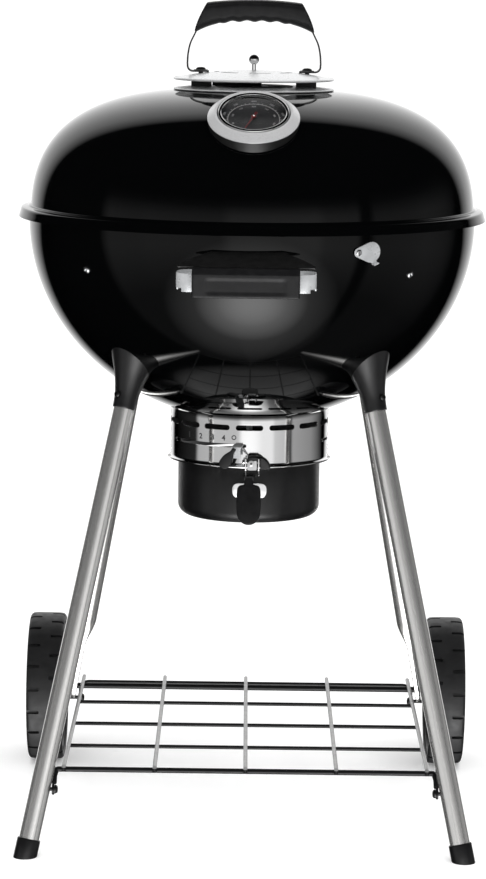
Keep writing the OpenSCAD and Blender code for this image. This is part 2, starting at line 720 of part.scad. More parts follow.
module wire_shelf() {
    rail_y = -241.5;
    wire_z = shelf_z + 4.1;
    eye_y = leg_at(1, -1, 82)[1];
    color("#141416") union() {
        for (y = [-118.5, 4, 129]) rod([-229.5, y, shelf_z], [229.5, y, shelf_z], 2);
        for (s = [-1, 1]) {
            wire([[0, 255, shelf_z], [s * 222, 255, shelf_z], [s * 230.5, 252, 98],
                [s * 230.5, axle_y + 8, 89]], 2);
            wire([[0, rail_y, shelf_z], [s * 228, rail_y, shelf_z], [s * 237, rail_y - 4, 97],
                [s * 237.6, eye_y + 2, 88]], 2.75);
            shelf_eye([s * 237, eye_y, 82], s);
            shelf_eye([s * 229, axle_y + 3, 84], s);
        }
        for (x = [-226:113:226]) {
            rod([x, rail_y - 7.3, wire_z], [x, 272, wire_z], 2.5);
            rod([x, rail_y - 4.5, shelf_z - 1.5], [x, rail_y - 4.5, wire_z], 2.3);
        }
    }
}

module shelf_bolts() {
    eye_y = leg_at(1, -1, 82)[1];
    color("#1d1d1f") for (s = [-1, 1]) {
        translate([s * 232.5, eye_y, 82]) rotate([0, s * 90, 0]) {
            cylinder(h = 4, r = 5.5);
            cylinder(h = 22, r = 2.95);
        }
        translate([s * 224.8, axle_y + 3, 84]) rotate([0, s * 90, 0]) {
            cylinder(h = 4, r = 5.5);
            cylinder(h = 24, r = 2.95);
        }
    }
}

lid_shell();
lid_vent_plate();
heat_shield();
shield_spacers();
lid_handle_strap();
lid_handle_grip();
handle_bolts();
thermometer_bezel();
thermometer_case();
thermometer_ring();
thermometer_dial();
thermometer_lens();
thermometer_probe();
thermometer_needle();
vent_damper();
damper_knob();
bowl_shell();
leg_socket(-1, -1);  // leg_socket_front_left
leg_socket(1, -1);  // leg_socket_front_right
leg_socket(-1, 1);  // leg_socket_rear_left
leg_socket(1, 1);  // leg_socket_rear_right
socket_screws();
grate_brackets();
bracket_screws();
front_handle_bracket();
front_handle_guard();
front_handle_grip();
front_handle_screws();
air_ring();
pan_clip();
port_rivet();
port_cover();
leg_front(-1);  // leg_front_left
leg_front(1);  // leg_front_right
leg_rear(-1);  // leg_rear_left
leg_rear(1);  // leg_rear_right
foot_cap(-1);  // foot_cap_left
foot_cap(1);  // foot_cap_right
axle();
axle_nuts();
wire_shelf();
shelf_bolts();
cooking_grate();
charcoal_grate();
sweeper_blades();
sweeper_arm();
sweeper_grip();
ash_pan();
pan_handle();
pan_handle_plate();
latch_bracket();
pan_latch();
latch_wire();
wheel(-1);  // wheel_left
wheel(1);  // wheel_right
tyre(-1);  // tyre_left
tyre(1);  // tyre_right
hub_cap(-1);  // hub_cap_left
hub_cap(1);  // hub_cap_right
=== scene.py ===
from math import acos, asin, atan2, copysign, cos, degrees, dist, hypot, pi, radians, sin, sqrt, tan

import bmesh
import bpy
from mathutils import Matrix, Vector


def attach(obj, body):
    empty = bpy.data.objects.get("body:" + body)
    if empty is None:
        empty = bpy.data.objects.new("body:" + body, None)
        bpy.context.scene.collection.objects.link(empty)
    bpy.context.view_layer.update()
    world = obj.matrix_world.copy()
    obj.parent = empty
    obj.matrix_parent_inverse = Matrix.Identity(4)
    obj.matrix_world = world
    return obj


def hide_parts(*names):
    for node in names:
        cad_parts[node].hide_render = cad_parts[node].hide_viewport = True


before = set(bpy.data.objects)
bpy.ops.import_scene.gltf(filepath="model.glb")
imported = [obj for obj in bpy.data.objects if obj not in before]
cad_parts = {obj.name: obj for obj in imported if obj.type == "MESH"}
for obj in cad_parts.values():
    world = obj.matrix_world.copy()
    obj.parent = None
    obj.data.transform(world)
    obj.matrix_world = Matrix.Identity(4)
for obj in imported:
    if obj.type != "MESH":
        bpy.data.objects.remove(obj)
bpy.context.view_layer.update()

# Kettle charcoal grill. Front is -Y, right is +X, up is +Z, the ground is z = 0.
# Shapes are given in millimetres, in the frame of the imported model, and built in metres.

MM = 0.001
SCENE = bpy.context.scene

# ---------------------------------------------------------------- driving sizes, in millimetres

BOWL_R, BOWL_Z, BOWL_DEPTH, SHEET = 286.5, 775.0, 260.0, 1.6
LID_R, LID_BASE_Z, LID_H, CREASE_Z = 285.0, 765.0, 176.8, 792.0
CROWN_P, CROWN_Q = 3.1, 2.7
RIM_BEAD, RIM_BEAD_R = (289.0, 782.6), 4.0
PLATE_Z, VENT_IN_R, VENT_OUT_R = 941.6, 18, 46
SHIELD_R, SHIELD_Z, SHIELD_RISE = 103.0, 953.5, 10.3
SHIELD_SLOTS, SHIELD_SLOT_R, SHIELD_SLOT_ANGLE = 7, 48.0, -42.0
BOLT_X, STRAP_FOOT_Z = 68.0, 962.6
HANDLE_TOP_Z, GRIP_TOP_CURVE, FINGER_PITCH = 1054.0, 470, 19.2
GAUGE_POS, DIAL_TILT = (0.0, -215.0, 913.0), 30.0
DIAL_START, DIAL_SWEEP, DIAL_TICKS, NEEDLE_ANGLE = 218, 256, 28, 158
LEG_R, FOOT_XY, SOCKET_XY, SOCKET_Z = 12.7, 272.0, 147.5, 597.0
TAB_X, AXLE_Y, AXLE_Z = 238.0, 241.0, 101.5
LEG_TOP_Z = 580.0
RING_R, RING_WALL, RING_LOW_Z, RING_TOP_Z, RING_SLOTS = 103.0, 1.4, 465.0, 531.0, 15
LEVER_Z, LEVER_ANGLE, LEVER_BACK, LEVER_ON, SIDE_SLOT = 493.0, -8.0, 58.9, 5.9, (65, 127)
PAN_R, PAN_TOP_Z, PAN_H = 92.0, 464.2, 74.0
SHELF_Z, WIRE_Z, WIRE_XS = 104.3, 108.4, (-226, -113, 0, 113, 226)
RAIL_Y = -241.5
WHEEL_R, WHEEL_W, TRACK_W, SPOKES, LUGS = 101.5, 48.5, 599.0, 8, 20
PORT_ANGLE, PORT_Z, PORT_REACH, FLAP_R, FLAP_TIP_R = 30.3, 755.0, 18.0, 12.8, 6
BOWL_TURN = -1.2
LATCH_PIN = (-114.0, 474.0)


def linked(name, data):
    """A new object in the scene."""
    obj = bpy.data.objects.new(name, data)
    SCENE.collection.objects.link(obj)
    return obj


# ---------------------------------------------------------------- camera

CAMERA_PLACE = (-0.0081, -4.2, 1.110)
CAMERA_PITCH, CAMERA_ROLL, CAMERA_LENS = 8.448, 0.72, 133.6

camera = linked("camera", bpy.data.cameras.new("camera"))
camera.location = CAMERA_PLACE
camera.rotation_euler = (
    Matrix.Rotation(radians(90 - CAMERA_PITCH), 3, "X")
    @ Matrix.Rotation(radians(CAMERA_ROLL), 3, "Z")
).to_euler()
camera.data.lens = CAMERA_LENS
camera.data.sensor_width = 36
camera.data.clip_start, camera.data.clip_end = 0.1, 60
SCENE.camera = camera


# ---------------------------------------------------------------- materials

class Surface:
    """A Principled material whose nodes are added one step at a time."""

    def __init__(self, name, color, rough, metal=0.0, ior=1.5, transmission=0.0, specular=0.5):
        self.material = bpy.data.materials.new(name)
        self.material.use_nodes = True
        self.tree = self.material.node_tree
        self.shader = self.tree.nodes["Principled BSDF"]
        self.material.diffuse_color = (*color, 1)
        self.color = color
        for socket, value in (("Base Color", (*color, 1)), ("Roughness", rough), ("Metallic", metal), ("IOR", ior),
                              ("Transmission Weight", transmission), ("Specular IOR Level", specular)):
            self.shader.inputs[socket].default_value = value
        self.place = self.node("ShaderNodeTexCoord")
        self.normal = None

    def node(self, kind):
        return self.tree.nodes.new(kind)

    def link(self, a, b):
        self.tree.links.new(a, b)

    def noise(self, size, detail=4.0, stretch=(1, 1, 1)):
        """Noise whose grains are about size metres, drawn out along stretch."""
        mapping, noise = self.node("ShaderNodeMapping"), self.node("ShaderNodeTexNoise")
        mapping.inputs["Scale"].default_value = [1 / (size * s) for s in stretch]
        noise.inputs["Scale"].default_value = 1.0
        noise.inputs["Detail"].default_value = detail
        self.link(self.place.outputs["Object"], mapping.inputs["Vector"])
        self.link(mapping.outputs["Vector"], noise.inputs["Vector"])
        return noise.outputs["Fac"]

    def spread(self, value, low, high, a=0.3, b=0.7):
        ranged = self.node("ShaderNodeMapRange")
        for socket, number in (("From Min", a), ("From Max", b), ("To Min", low), ("To Max", high)):
            ranged.inputs[socket].default_value = number
        self.link(value, ranged.inputs["Value"])
        return ranged.outputs["Result"]

    def rough(self, value, low, high):
        self.link(self.spread(value, low, high), self.shader.inputs["Roughness"])
        return self

    def tint(self, value, other, a=0.35, b=0.65):
        """Colour between the base and other, by value."""
        mixer = self.node("ShaderNodeMix")
        mixer.data_type = "RGBA"
        mixer.inputs[6].default_value = (*self.color, 1)
        mixer.inputs[7].default_value = (*other, 1)
        self.link(self.spread(value, 0, 1, a, b), mixer.inputs[0])
        self.link(mixer.outputs[2], self.shader.inputs["Base Color"])
        return self

    def bump(self, value, height, strength=1.0):
        bump = self.node("ShaderNodeBump")
        bump.inputs["Distance"].default_value = height
        bump.inputs["Strength"].default_value = strength
        self.link(value, bump.inputs["Height"])
        if self.normal is not None:
            self.link(self.normal, bump.inputs["Normal"])
        self.normal = bump.outputs["Normal"]
        self.link(self.normal, self.shader.inputs["Normal"])
        return self


def grained(name, color, other, rough, grain, height, **more):
    """Moulded or painted surface: fine grain, slightly uneven gloss and colour."""
    s = Surface(name, color, sum(rough) / 2, **more)
    s.rough(s.noise(grain * 9), *rough)
    s.tint(s.noise(grain * 14, 5), other)
    s.bump(s.noise(grain, 3), height)
    return s.material


def brushed(name, color, other, rough, stretch, height, grain=0.0004, metal=1.0, **more):
    """Metal with fine lines drawn out along one direction."""
    s = Surface(name, color, sum(rough) / 2, metal=metal, **more)
    lines = s.noise(grain, 3, stretch)
    s.rough(lines, *rough)
    s.tint(s.noise(grain * 2, 4, stretch), other)
    s.bump(lines, height)
    return s.material


def enamel():
    """Porcelain enamel: deep gloss over a faintly wavy fired coat, with specks of duller glass."""
    s = Surface("enamel_black", (0.0008, 0.0009, 0.001), 0.05, ior=1.3)
    s.rough(s.noise(0.03, 5), 0.035, 0.075)
    s.tint(s.noise(0.0012, 2), (0.0016, 0.0017, 0.0019), 0.55, 0.8)
    s.bump(s.noise(0.012, 2), 0.00002, 0.35)
    return s.material


def dial_face():
    s = Surface("dial_face", (0.022, 0.023, 0.025), 0.45)
    s.tint(s.noise(0.0006, 2), (0.03, 0.031, 0.033))
    s.rough(s.noise(0.004), 0.38, 0.5)
    s.bump(s.noise(0.0004, 2), 0.000004)
    return s.material


def lens():
    s = Surface("lens_glass", (1, 1, 1), 0.01, ior=1.12, transmission=1.0)
    s.rough(s.noise(0.01), 0.0, 0.02)
    return s.material


def galvanised(name, color, other, rough, metal=1.0):
    """Bright zinc or nickel plate over bar, with small dull patches; also the grey painted sheen on the long shelf
    wires.
    """
    s = Surface(name, color, sum(rough) / 2, metal=metal)
    s.rough(s.noise(0.006, 5), *rough)
    s.tint(s.noise(0.011, 5), other)
    s.bump(s.noise(0.0012, 3), 0.000012)
    return s.material


SOOTY = ((0.004, 0.004, 0.0045), (0.006, 0.006, 0.0065))

# Maker and its values after the name: two colours, roughness from and to, grain or stretch, depth of the bump
LOOKS = {
    "steel_polished": (brushed, (0.80, 0.80, 0.80), (0.76, 0.76, 0.765), (0.05, 0.10), (1, 1, 0.06), 0.0000004),
    "shield_steel": (brushed, (0.6, 0.605, 0.61), (0.56, 0.565, 0.57), (0.24, 0.34), (60, 1, 1), 0.000001),
    "bezel_steel": (brushed, (0.5, 0.5, 0.505), (0.46, 0.46, 0.465), (0.26, 0.36), (60, 1, 1), 0.000001),
    "leg_steel": (brushed, (0.95, 0.94, 0.925), (0.88, 0.87, 0.855), (0.18, 0.24), (1, 1, 60), 0.0000006),
    "bracket_steel": (galvanised, (0.56, 0.57, 0.58), (0.48, 0.49, 0.5), (0.25, 0.4)),
    "grip_black": (grained, (0.005, 0.005, 0.0055), (0.008, 0.008, 0.0085), (0.34, 0.46), 0.0006, 0.00003),
    "pan_black": (grained, *SOOTY, (0.3, 0.4), 0.0005, 0.000015),
    "socket_black": (grained, *SOOTY, (0.3, 0.42), 0.0008, 0.00004),
    "wire_black": (grained, *SOOTY, (0.3, 0.4), 0.0005, 0.000004),
    # Long shelf wires: grey that paints the sheen of the black wire, a painted reflection rather than a second
    # finish.
    "wire_grey": (galvanised, (0.3, 0.3, 0.3), (0.24, 0.24, 0.24), (0.3, 0.42)),
    "screw_black": (grained, (0.004, 0.004, 0.004), (0.007, 0.007, 0.007), (0.3, 0.45), 0.0006, 0.00001),
    "screw_steel": (galvanised, (0.78, 0.78, 0.79), (0.66, 0.66, 0.67), (0.12, 0.3)),
    "grate_plated": (galvanised, (0.72, 0.72, 0.71), (0.6, 0.6, 0.59), (0.14, 0.34)),
    "grate_steel": (galvanised, (0.42, 0.42, 0.42), (0.3, 0.3, 0.3), (0.35, 0.55)),
    "blade_steel": (galvanised, (0.5, 0.5, 0.5), (0.4, 0.4, 0.4), (0.3, 0.5)),
    "wheel_black": (grained, (0.007, 0.007, 0.0075), (0.010, 0.010, 0.0105), (0.4, 0.52), 0.0009, 0.00004),
    "tyre_black": (grained, (0.009, 0.009, 0.0095), (0.014, 0.014, 0.0145), (0.45, 0.6), 0.0011, 0.00006),
    "dial_mark": (grained, (0.55, 0.55, 0.55), (0.48, 0.48, 0.48), (0.4, 0.5), 0.0004, 0.000002),
    "needle_red": (grained, (0.16, 0.008, 0.012), (0.22, 0.012, 0.016), (0.3, 0.4), 0.0004, 0.000002),
    # Dark print on the ring and the latch rivet; the same dark also paints the shade band inside the air ring.
    "mark_dark": (grained, (0.02, 0.02, 0.02), (0.04, 0.04, 0.04), (0.4, 0.5), 0.0004, 0.000002),
}
MORE = {
    "shield_steel": {"metal": 0.35}, "bezel_steel": {"metal": 0.3}, "leg_steel": {"metal": 0.9},
    "bracket_steel": {"metal": 0.35}, "wire_grey": {"metal": 0.3},
    "grip_black": {"specular": 0.28}, "wire_black": {"specular": 0.3},
}
MATERIAL = {name: make(name, *values, **MORE.get(name, {})) for name, (make, *values) in LOOKS.items()}
MATERIAL.update(enamel_black=enamel(), dial_grey=dial_face(), lens_clear=lens())


# ---------------------------------------------------------------- mesh tools

def build(name, verts, faces):
    """An object from points in millimetres, with shared corners joined and faces turned outwards."""
    mesh = bpy.data.meshes.new(name)
    bm = bmesh.new()
    points = [bm.verts.new([c * MM for c in v]) for v in verts]
    for f in faces:
        try:
            bm.faces.new([points[i] for i in f])
        except ValueError:
            pass
    bmesh.ops.remove_doubles(bm, verts=bm.verts, dist=1e-7)
    bmesh.ops.recalc_face_normals(bm, faces=bm.faces)
    bm.to_mesh(mesh)
    bm.free()
    return linked(name, mesh)


def moved(obj, matrix):
    """Moves the mesh itself by a matrix whose offsets are in metres."""
    obj.data.transform(matrix)
    if matrix.determinant() < 0:
        obj.data.flip_normals()
    return obj


def shift(x, y, z):
    return Matrix.Translation(Vector((x, y, z)) * MM)


def turn(angle, axis):
    return Matrix.Rotation(radians(angle), 4, axis)


def along(a, b):
    """Frame at a whose +Z points to b, as OpenSCAD's rotate([0, tilt, heading]) gives."""
    v = Vector(b) - Vector(a)
    tilt, heading = degrees(acos(v.z / v.length)), degrees(atan2(v.y, v.x))
    return shift(*a) @ turn(heading, "Z") @ turn(tilt, "Y")


def lathe(name, profile, steps=160):
    """Revolves a closed (r, z) outline about Z; a point on the axis becomes a pole."""
    verts, rings = [], []
    for r, z in profile:
        if r < 1e-6:
            rings.append([len(verts)])
            verts.append((0, 0, z))
        else:
            rings.append(list(range(len(verts), len(verts) + steps)))
            verts += [(r * cos(2 * pi * k / steps), r * sin(2 * pi * k / steps), z)
                      for k in range(steps)]
    faces = []
    for a, b in zip(rings, rings[1:] + rings[:1]):
        for k in range(steps):
            j = (k + 1) % steps
            if len(a) == 1 and len(b) == 1:
                continue
            if len(a) == 1:
                faces.append((a[0], b[k], b[j]))
            elif len(b) == 1:
                faces.append((a[k], b[0], a[j]))
            else:
                faces.append((a[k], b[k], b[j], a[j]))
    return build(name, verts, faces)


def prism(name, outline, low, high):
    """Upright prism over an (x, y) outline."""
    n = len(outline)
    verts = [(x, y, low) for x, y in outline] + [(x, y, high) for x, y in outline]
    faces = [tuple(range(n)), tuple(range(n, 2 * n))]
    faces += [(k, (k + 1) % n, n + (k + 1) % n, n + k) for k in range(n)]
    return build(name, verts, faces)


def sector(r0, r1, z0, z1, a0, a1, steps=24):
    """Part of a ring from angle a0 to a1, counted from the front towards the right."""
    verts = []
    for k in range(steps + 1):
        a = radians(a0 - 90 + (a1 - a0) * k / steps)
        verts += [(r * cos(a), r * sin(a), z) for r, z in box(r0, r1, z0, z1)]
    faces = [(0, 1, 2, 3), tuple(range(4 * steps, 4 * steps + 4))]
    faces += [(4 * k + i, 4 * k + (i + 1) % 4, 4 * k + 4 + (i + 1) % 4, 4 * k + 4 + i)
              for k in range(steps) for i in range(4)]
    return build("cutter", verts, faces)


def clamped(x, low, high):
    return max(low, min(high, x))


def rounded(points, radius, steps=6):
    """Polyline with its inner corners rounded to a radius, in 2-D or 3-D."""
    points = [Vector(p) for p in points]
    out = [points[0]]
    for a, b, c in zip(points, points[1:], points[2:]):
        u, w = (a - b).normalized(), (c - b).normalized()
        half = acos(clamped(u.dot(w), -1, 1)) / 2
        cut_back = min(radius / tan(half), (a - b).length * 0.48, (c - b).length * 0.48)
        start, end = b + u * cut_back, b + w * cut_back
        for k in range(steps + 1):
            t = k / steps
            out.append(start * (1 - t) ** 2 + b * 2 * t * (1 - t) + end * t ** 2)
    out.append(points[-1])
    return out


def spline(points, per=8):
    """Catmull-Rom curve through the points."""
    points = [Vector(p) for p in points]
    ext = [points[0] * 2 - points[1]] + points + [points[-1] * 2 - points[-2]]
    out = []
    for p0, p1, p2, p3 in zip(ext, ext[1:], ext[2:], ext[3:]):
        for k in range(per):
            t = k / per
            out.append(0.5 * (2 * p1 + (p2 - p0) * t + (2 * p0 - 5 * p1 + 4 * p2 - p3) * t ** 2
                              + (3 * p1 - p0 - 3 * p2 + p3) * t ** 3))
    out.append(points[-1])
    return out


def smooth(points, per=5):
    return [tuple(p) for p in spline(points, per)]


def polar(r, angle):
    return (r * cos(radians(angle)), r * sin(radians(angle)))


def hexagon(r):
    return [(r * cos(a * pi / 3), r * sin(a * pi / 3)) for a in range(6)]


def box(x0, x1, y0, y1):
    """Corners of a rectangle."""
    return [(x0, y0), (x1, y0), (x1, y1), (x0, y1)]


def arc(cx, cy, r, a0, a1, steps=8):
    turned = [polar(r, a0 + (a1 - a0) * k / steps) for k in range(steps + 1)]
    return [(cx + x, cy + y) for x, y in turned]


def offset(path, distance):
    """2-D path moved sideways, to the left of its direction."""
    out = []
    for i, p in enumerate(path):
        d = Vector(path[min(i + 1, len(path) - 1)]) - Vector(path[max(i - 1, 0)])
        d.normalize()
        out.append((p[0] - d.y * distance, p[1] + d.x * distance))
    return out


def ribbon(path, thick):
    path = [tuple(p)[:2] for p in path]
    return offset(path, thick / 2) + offset(path, -thick / 2)[::-1]


def tube(name, path, radius, sides, ends=True):
    """Round wire along a 3-D path, with domed ends unless told otherwise."""
    path = [Vector(p) for p in path]
    radii = [radius] * len(path)
    if ends:
        first, last = (path[1] - path[0]).normalized(), (path[-1] - path[-2]).normalized()
        caps = [(0.999, 0.06), (0.72, 0.7), (0.38, 0.93)]
        head = [(path[0] + first * radius * 0.5 * (1 - d), radius * w) for d, w in caps]
        tail = [(path[-1] - last * radius * 0.5 * (1 - d), radius * w) for d, w in caps]
        path = [p for p, _ in head] + [path[0] + first * radius * 0.5] + path[1:-1] + \
               [path[-1] - last * radius * 0.5] + [p for p, _ in reversed(tail)]
        radii = [w for _, w in head] + [radius] * (len(path) - 6) + [w for _, w in reversed(tail)]
    verts, normal, n = [], None, len(path)
    for i, p in enumerate(path):
        d = (path[min(i + 1, n - 1)] - path[max(i - 1, 0)]).normalized()
        if normal is None:
            normal = d.orthogonal().normalized()
        normal = (normal - d * normal.dot(d)).normalized()
        side = d.cross(normal)
        for k in range(sides):
            a = 2 * pi * k / sides
            verts.append(p + (normal * cos(a) + side * sin(a)) * radii[i])
    faces = [(i * sides + k, i * sides + (k + 1) % sides, (i + 1) * sides + (k + 1) % sides, (i + 1) * sides + k)
             for i in range(n - 1) for k in range(sides)]
    faces += [tuple(range(sides)), tuple(range((n - 1) * sides, n * sides))]
    return build(name, verts, faces)


def joined(name, parts):
    """One object from several, which go."""
    bm = bmesh.new()
    for part in parts:
        bm.from_mesh(part.data)
        bpy.data.objects.remove(part)
    mesh = bpy.data.meshes.new(name)
    bm.to_mesh(mesh)
    bm.free()
    return linked(name, mesh)


def applied(obj):
    """Replaces the object's mesh by the result of its modifiers."""
    graph = bpy.context.evaluated_depsgraph_get()
    graph.update()
    mesh = bpy.data.meshes.new_from_object(obj.evaluated_get(graph))
    obj.modifiers.clear()
    obj.data = mesh
    return obj


def boolean(obj, other):
    """Cuts the other object out of this one, after which it goes."""
    modifier = obj.modifiers.new("cut", "BOOLEAN")
    modifier.operation, modifier.solver, modifier.object = "DIFFERENCE", "EXACT", other
    applied(obj)
    bpy.data.objects.remove(other)
    return obj


def bevelled(obj, width, segments=3, angle=40):
    modifier = obj.modifiers.new("edge", "BEVEL")
    modifier.width, modifier.segments = width * MM, segments
    modifier.limit_method, modifier.angle_limit = "ANGLE", radians(angle)
    modifier.use_clamp_overlap = True
    return applied(obj)


def placed(obj, body, slot, material, *nodes, sharp=38):
    """Gives a finished piece its shading, finish and body, and hides the CAD parts that it stands for."""
    obj.data.materials.clear()
    obj.data.materials.append(MATERIAL[material])
    obj.data.polygons.foreach_set("use_smooth", [True] * len(obj.data.polygons))
    obj.data.set_sharp_from_angle(angle=radians(sharp))
    obj.data.update()
    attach(obj, body)
    if nodes:
        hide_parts(*nodes)
    return obj


def loop_rounded(points, radius, steps=4):
    """Closed 2-D outline with every corner rounded."""
    n = len(points)
    out = []
    for i in range(n):
        a, b, c = (Vector(points[(i + k) % n]) for k in (-1, 0, 1))
        u, w = (a - b).normalized(), (c - b).normalized()
        half = acos(clamped(u.dot(w), -1, 1)) / 2
        reach = min(radius / max(tan(half), 1e-6), (a - b).length * 0.45, (c - b).length * 0.45)
        for k in range(steps + 1):
            t = k / steps
            out.append(tuple((b + u * reach) * (1 - t) ** 2 + b * 2 * t * (1 - t) + (b + w * reach) * t ** 2))
    return out


def squared(c, power):
    """A cosine or sine, bent so that the circle becomes a rounded square."""
    return copysign(abs(c) ** (2 / power), c)


def stations(ends, count, per):
    """Places from -1 to 1 along a grip, close together near both ends."""
    return [-e for e in ends] + [k / per for k in range(-count, count + 1)] + ends[::-1]


def end_inset(u, reach, depth):
    """How far the outline is drawn in at place u, to round the grip's end."""
    t = max(0.0, 1 - (1 - abs(u)) / reach)
    return depth * (1 - sqrt(max(0.0, 1 - t ** 2)))


def divided(outline, length):
    """Closed outline with its sides cut into pieces of about 2, where length measures a side."""
    out = []
    for a, b in zip(outline, outline[1:] + outline[:1]):
        pieces = max(1, int(length(a, b) / 2))
        out += [(a[0] + (b[0] - a[0]) * k / pieces, a[1] + (b[1] - a[1]) * k / pieces) for k in range(pieces)]
    return out


def loft(name, sections):
    """Skin over closed sections that all have the same number of points."""
    n, m = len(sections[0]), len(sections)
    verts = [p for s in sections for p in s]
    faces = [(i * n + k, i * n + (k + 1) % n, (i + 1) * n + (k + 1) % n, (i + 1) * n + k)
             for i in range(m - 1) for k in range(n)]
    faces += [tuple(range(n)), tuple(range((m - 1) * n, m * n))]
    return build(name, verts, faces)


def bowl_radius(z):
    return BOWL_R * sqrt(1 - ((BOWL_Z - z) / BOWL_DEPTH) ** 2)


def on_bowl(angle, z):
    """Frame on the bowl's outside whose +Z is the outward normal."""
    slope = degrees(atan2((z - BOWL_Z) / BOWL_DEPTH ** 2, bowl_radius(z) / BOWL_R ** 2))
    return turn(angle, "Z") @ shift(0, -bowl_radius(z), z) @ turn(90 - slope, "X")


def with_bowl(obj):
    """Turns a piece that is fixed to the bowl, which sits slightly turned on its legs."""
    return moved(obj, turn(BOWL_TURN, "Z"))


def screw(radius, height, shank=0.0, socket=True):
    """Domed screw head standing on z = 0, with a hexagon recess."""
    dome = [(0, height)] + [(radius * r, height * h) for r, h in ((0.35, 0.99), (0.65, 0.9), (0.88, 0.66),
                                                                  (0.98, 0.36), (1, 0.1), (1, 0))]
    if shank:
        dome += [(radius * 0.45, 0), (radius * 0.45, -shank)]
    dome.append((0, -shank))
    head = lathe("screw", dome, steps=48)
    if socket:
        boolean(head, prism("key", hexagon(radius * 0.42), height * 0.35, height * 2))
    return head


# ---------------------------------------------------------------- lid

def crown(gap, steps=64):
    """Outline of the lid from the crease above the lip to the axis, drawn in by gap."""
    start = asin(((CREASE_Z - LID_BASE_Z) / LID_H) ** (CROWN_Q / 2))
    out = []
    for k in range(steps + 1):
        a = pi / 2 - (pi / 2 - start) * (1 - k / steps) ** 1.5
        c = 0.0 if k == steps else cos(a)
        out.append(((LID_R - gap) * c ** (2 / CROWN_P), LID_BASE_Z + (LID_H - gap) * sin(a) ** (2 / CROWN_Q)))
    return out


def vent_cutters(z0, z1, extra=0.0):
    return joined("cutters", [sector(VENT_IN_R, VENT_OUT_R, z0, z1, i * 90 + 24 + extra, i * 90 + 66 + extra)
                              for i in range(4)])


def shield_height(r):
    return SHIELD_Z + SHIELD_RISE * (1 - (r / SHIELD_R) ** 2)


LIP = [(286.1, 790.9), (286.9, 789.7), (288.4, 789), (290.5, 788.6), (294.6, 787.9), (295.7, 787.3), (296.4, 786.2),
       (297.3, 783), (298.3, 779.6), (299.15, 776.6)]


def make_lid():
    lip = smooth(LIP, 3)
    profile = crown(0)[::-1] + offset(lip, SHEET / 2) + offset(lip, -SHEET / 2)[::-1] + crown(SHEET)
    shell = boolean(lathe("lid_shell_skin", profile, steps=256), vent_cutters(920, 960))
    placed(shell, "lid", "enamel_black", "enamel_black", "lid_shell", sharp=50)

    plate_low, plate_high = PLATE_Z + 0.4, PLATE_Z + 1.9
    plate = lathe("vent_plate_skin", [(7, plate_low), (7, plate_high), (81, plate_high), (83, plate_high - 0.15),
                                      (102.3, PLATE_Z - 0.2), (SHIELD_R, PLATE_Z - 0.9), (102.4, PLATE_Z - 1.8),
                                      (82, plate_low)], steps=192)
    boolean(plate, vent_cutters(PLATE_Z - 5, PLATE_Z + 5))
    placed(plate, "lid", "steel_brushed", "shield_steel", "lid_vent_plate")

    hole, rim = 4.2, SHIELD_R - 2.6
    middle = [(r, shield_height(r)) for r in [hole + (rim - hole) * k / 32 for k in range(33)]]
    shield = lathe("heat_shield_skin", offset(middle, 0.6) +
                   arc(SHIELD_R - 1.6, SHIELD_Z, 1.6, 120, -120, 18) + offset(middle, -0.6)[::-1], steps=256)
    slots = []
    for i in range(SHIELD_SLOTS):
        a0 = SHIELD_SLOT_ANGLE + i * 360 / SHIELD_SLOTS
        slots.append(slot_cutter(SHIELD_SLOT_R, 3.0, a0 - 14, a0 + 14, 950, 975))
    boolean(shield, joined("cutters", slots))
    placed(shield, "lid", "steel_brushed", "shield_steel", "heat_shield")

    blocks = []
    for s in (-1, 1):
        outline = loop_rounded(box(s * 67 - 13, s * 67 + 13, -12, 12), 2)
        blocks.append(loft("block", [[(x, y, PLATE_Z + 2) for x, y in outline],
                                     [(x, y, shield_height(hypot(x, y)) - 0.85) for x, y in outline]]))
    placed(joined("spacer_blocks", blocks), "lid", "grip_black", "grip_black", "shield_spacers")


def slot_cutter(radius, half_width, a0, a1, z0, z1, steps=16):
    """Upright cutter for an arc slot with round ends, around the axis."""
    def at(r, a):
        return polar(r, a - 90)
    span = degrees(half_width / radius)
    outline = [at(radius + half_width, a0 + (a1 - a0) * k / steps) for k in range(steps + 1)]
    outline += [at(radius + half_width * cos(radians(t)), a1 + span * sin(radians(t)))
                for t in range(20, 180, 20)]
    outline += [at(radius - half_width, a1 + (a0 - a1) * k / steps) for k in range(steps + 1)]
    outline += [at(radius - half_width * cos(radians(t)), a0 - span * sin(radians(t)))
                for t in range(20, 180, 20)]
    return prism("cutter", outline, z0, z1)


def strap_line():
    z = STRAP_FOOT_Z
    return [(57.6, z), (78, z)] + arc(78, z + 7, 7, -75, 5, 10) + \
        smooth([(85.2, 973), (84.4, 985), (81.6, 998), (76, 1010), (66, 1031)])


